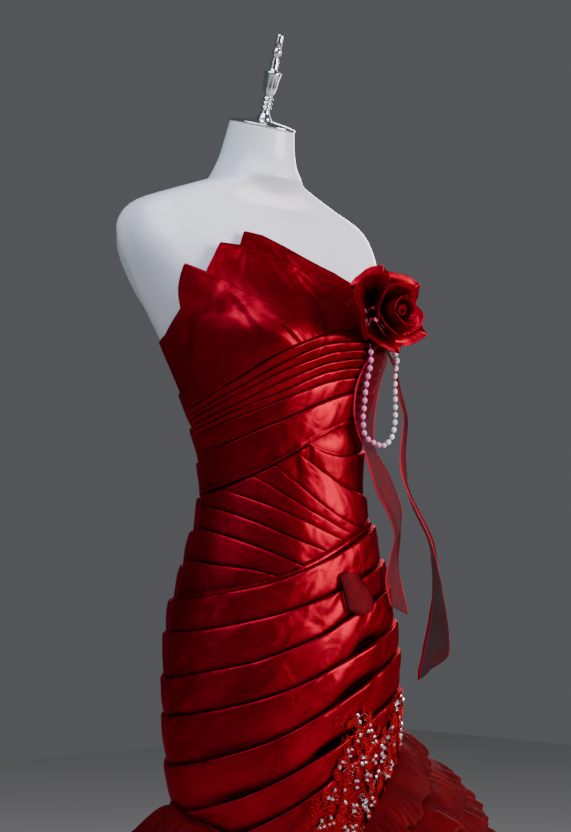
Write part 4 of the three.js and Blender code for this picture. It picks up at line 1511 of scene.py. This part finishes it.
def makeLace():
    rng = random.Random(lace["seed"])
    lines, beads = [], []
    filled = bmesh.new()
    stones = bmesh.new()
    stoneCount = 0
    for angle, z in laceCentres(rng, lace["pitch"]):
        turn = rng.uniform(0, 2 * math.pi)
        kind = rng.random()
        if kind < lace["leaves"]:
            size = rng.uniform(*lace["leaf"])
            for share in (0.95, 0.55):
                leaf = leafShape(size * share, size * 0.5 * share, turn, share)
                lines.append(motifLine((angle, z), leaf))
            fillShape(filled, (angle, z), leaf)
        elif kind < lace["leaves"] + lace["flowers"]:
            petals = rng.choice((5, 6))
            size = rng.uniform(*lace["petal"])
            for k in range(petals):
                petal = leafShape(size, size * 0.6, turn + 2 * math.pi * k / petals, 0.6)
                lines.append(motifLine((angle, z), petal))
                fillShape(filled, (angle, z), petal)
        else:
            curl = curlShape(rng.uniform(*lace["curl"]), turn, rng.choice((-5, 5)), 0.3)
            lines.append(motifLine((angle, z), curl))
            if rng.random() < lace["beaded"]:
                beads += [(angle + x / lace["reach"], z + y) for x, y, lift in curl[1::2]]
    for angle, z in laceCentres(rng, lace["stoneGrid"]):
        count = rng.choice((1, 2, 3))
        apart = 5 if count > 1 else 0
        for k in range(count):
            turn = k * 2 * math.pi / 3 + angle
            spot = (angle + 0.34 * apart * math.cos(turn), z + apart * math.sin(turn))
            addStone(stones, rng, *spot, rng.uniform(*lace["stone"]))
            stoneCount += 1
    for angle, z in beads:
        spot = Matrix.Translation(laceSpot(angle, z, 1.1))
        bmesh.ops.create_icosphere(stones, subdivisions=1, radius=lace["bead"] * mm, matrix=spot)
    nodes = ["lace_spray_front", "lace_spray_middle", "lace_spray_left"]
    finishMesh(cordMesh("laceCords", lines, lace["cord"], sides=0), "laceCords", laceCord, nodes)
    bmesh.ops.triangulate(filled, faces=filled.faces)
    fillings = finishMesh(filled, "laceFillings", laceFilling, nodes, outward=awayFromAxis)
    thicken(fillings, lace["filling"], offset=0)
    for polygon in fillings.data.polygons:
        polygon.use_smooth = False
    stonePiece = finishMesh(stones, "laceStones", crystal, nodes)
    for polygon in stonePiece.data.polygons:
        polygon.use_smooth = False
    print("stage: lace, lines", len(lines), "stones", stoneCount, "beads", len(beads))


makeRose()
makeTails()
makeStrand()
print("stage: rose, ribbon and pearls")
makeSkirt()
makeRuffles()
print("stage: skirt")
makeLace()
print("stage: lace")


# Studio


# Each light: azimuth, elevation, distance and size in metres, watts and colour
lights = {
    "keyLight": (34, 14, 3.0, 1.7, 128, "#fff2f4"),
    "topLight": (-50, 60, 3.0, 2.4, 110, "#e4ecff"),
    "fillLight": (-80, 20, 3.4, 2.0, 14, "#dfe9ff"),
    "rimLight": (125, 25, 3.0, 1.2, 30, "#fff0f4"),
}


def makeStudio():
    bm = bmesh.new()
    bmesh.ops.create_grid(bm, x_segments=1, y_segments=1, size=6)
    mesh = bpy.data.meshes.new("floor")
    bm.to_mesh(mesh)
    bm.free()
    floor = bpy.data.objects.new("floor", mesh)
    bpy.context.scene.collection.objects.link(floor)
    mesh.materials.append(floorPaint)
    world = bpy.data.worlds.new("studio")
    bpy.context.scene.world = world
    world.use_nodes = True
    background = world.node_tree.nodes["Background"]
    background.inputs["Color"].default_value = hexColor("#c9ccd2")
    background.inputs["Strength"].default_value = 0.16
    for name, (azimuth, elevation, distance, size, power, code) in lights.items():
        data = bpy.data.lights.new(name, "AREA")
        data.energy = power
        data.size = size
        data.color = hexColor(code)[:3]
        light = bpy.data.objects.new(name, data)
        turn, rise = math.radians(azimuth), math.radians(elevation)
        target = Vector((0, 0, 1.05))
        away = Vector((math.sin(turn) * math.cos(rise), -math.cos(turn) * math.cos(rise), math.sin(rise)))
        light.location = target + away * distance
        light.rotation_euler = away.to_track_quat("Z", "Y").to_euler()
        bpy.context.scene.collection.objects.link(light)


makeStudio()
print("stage: studio")
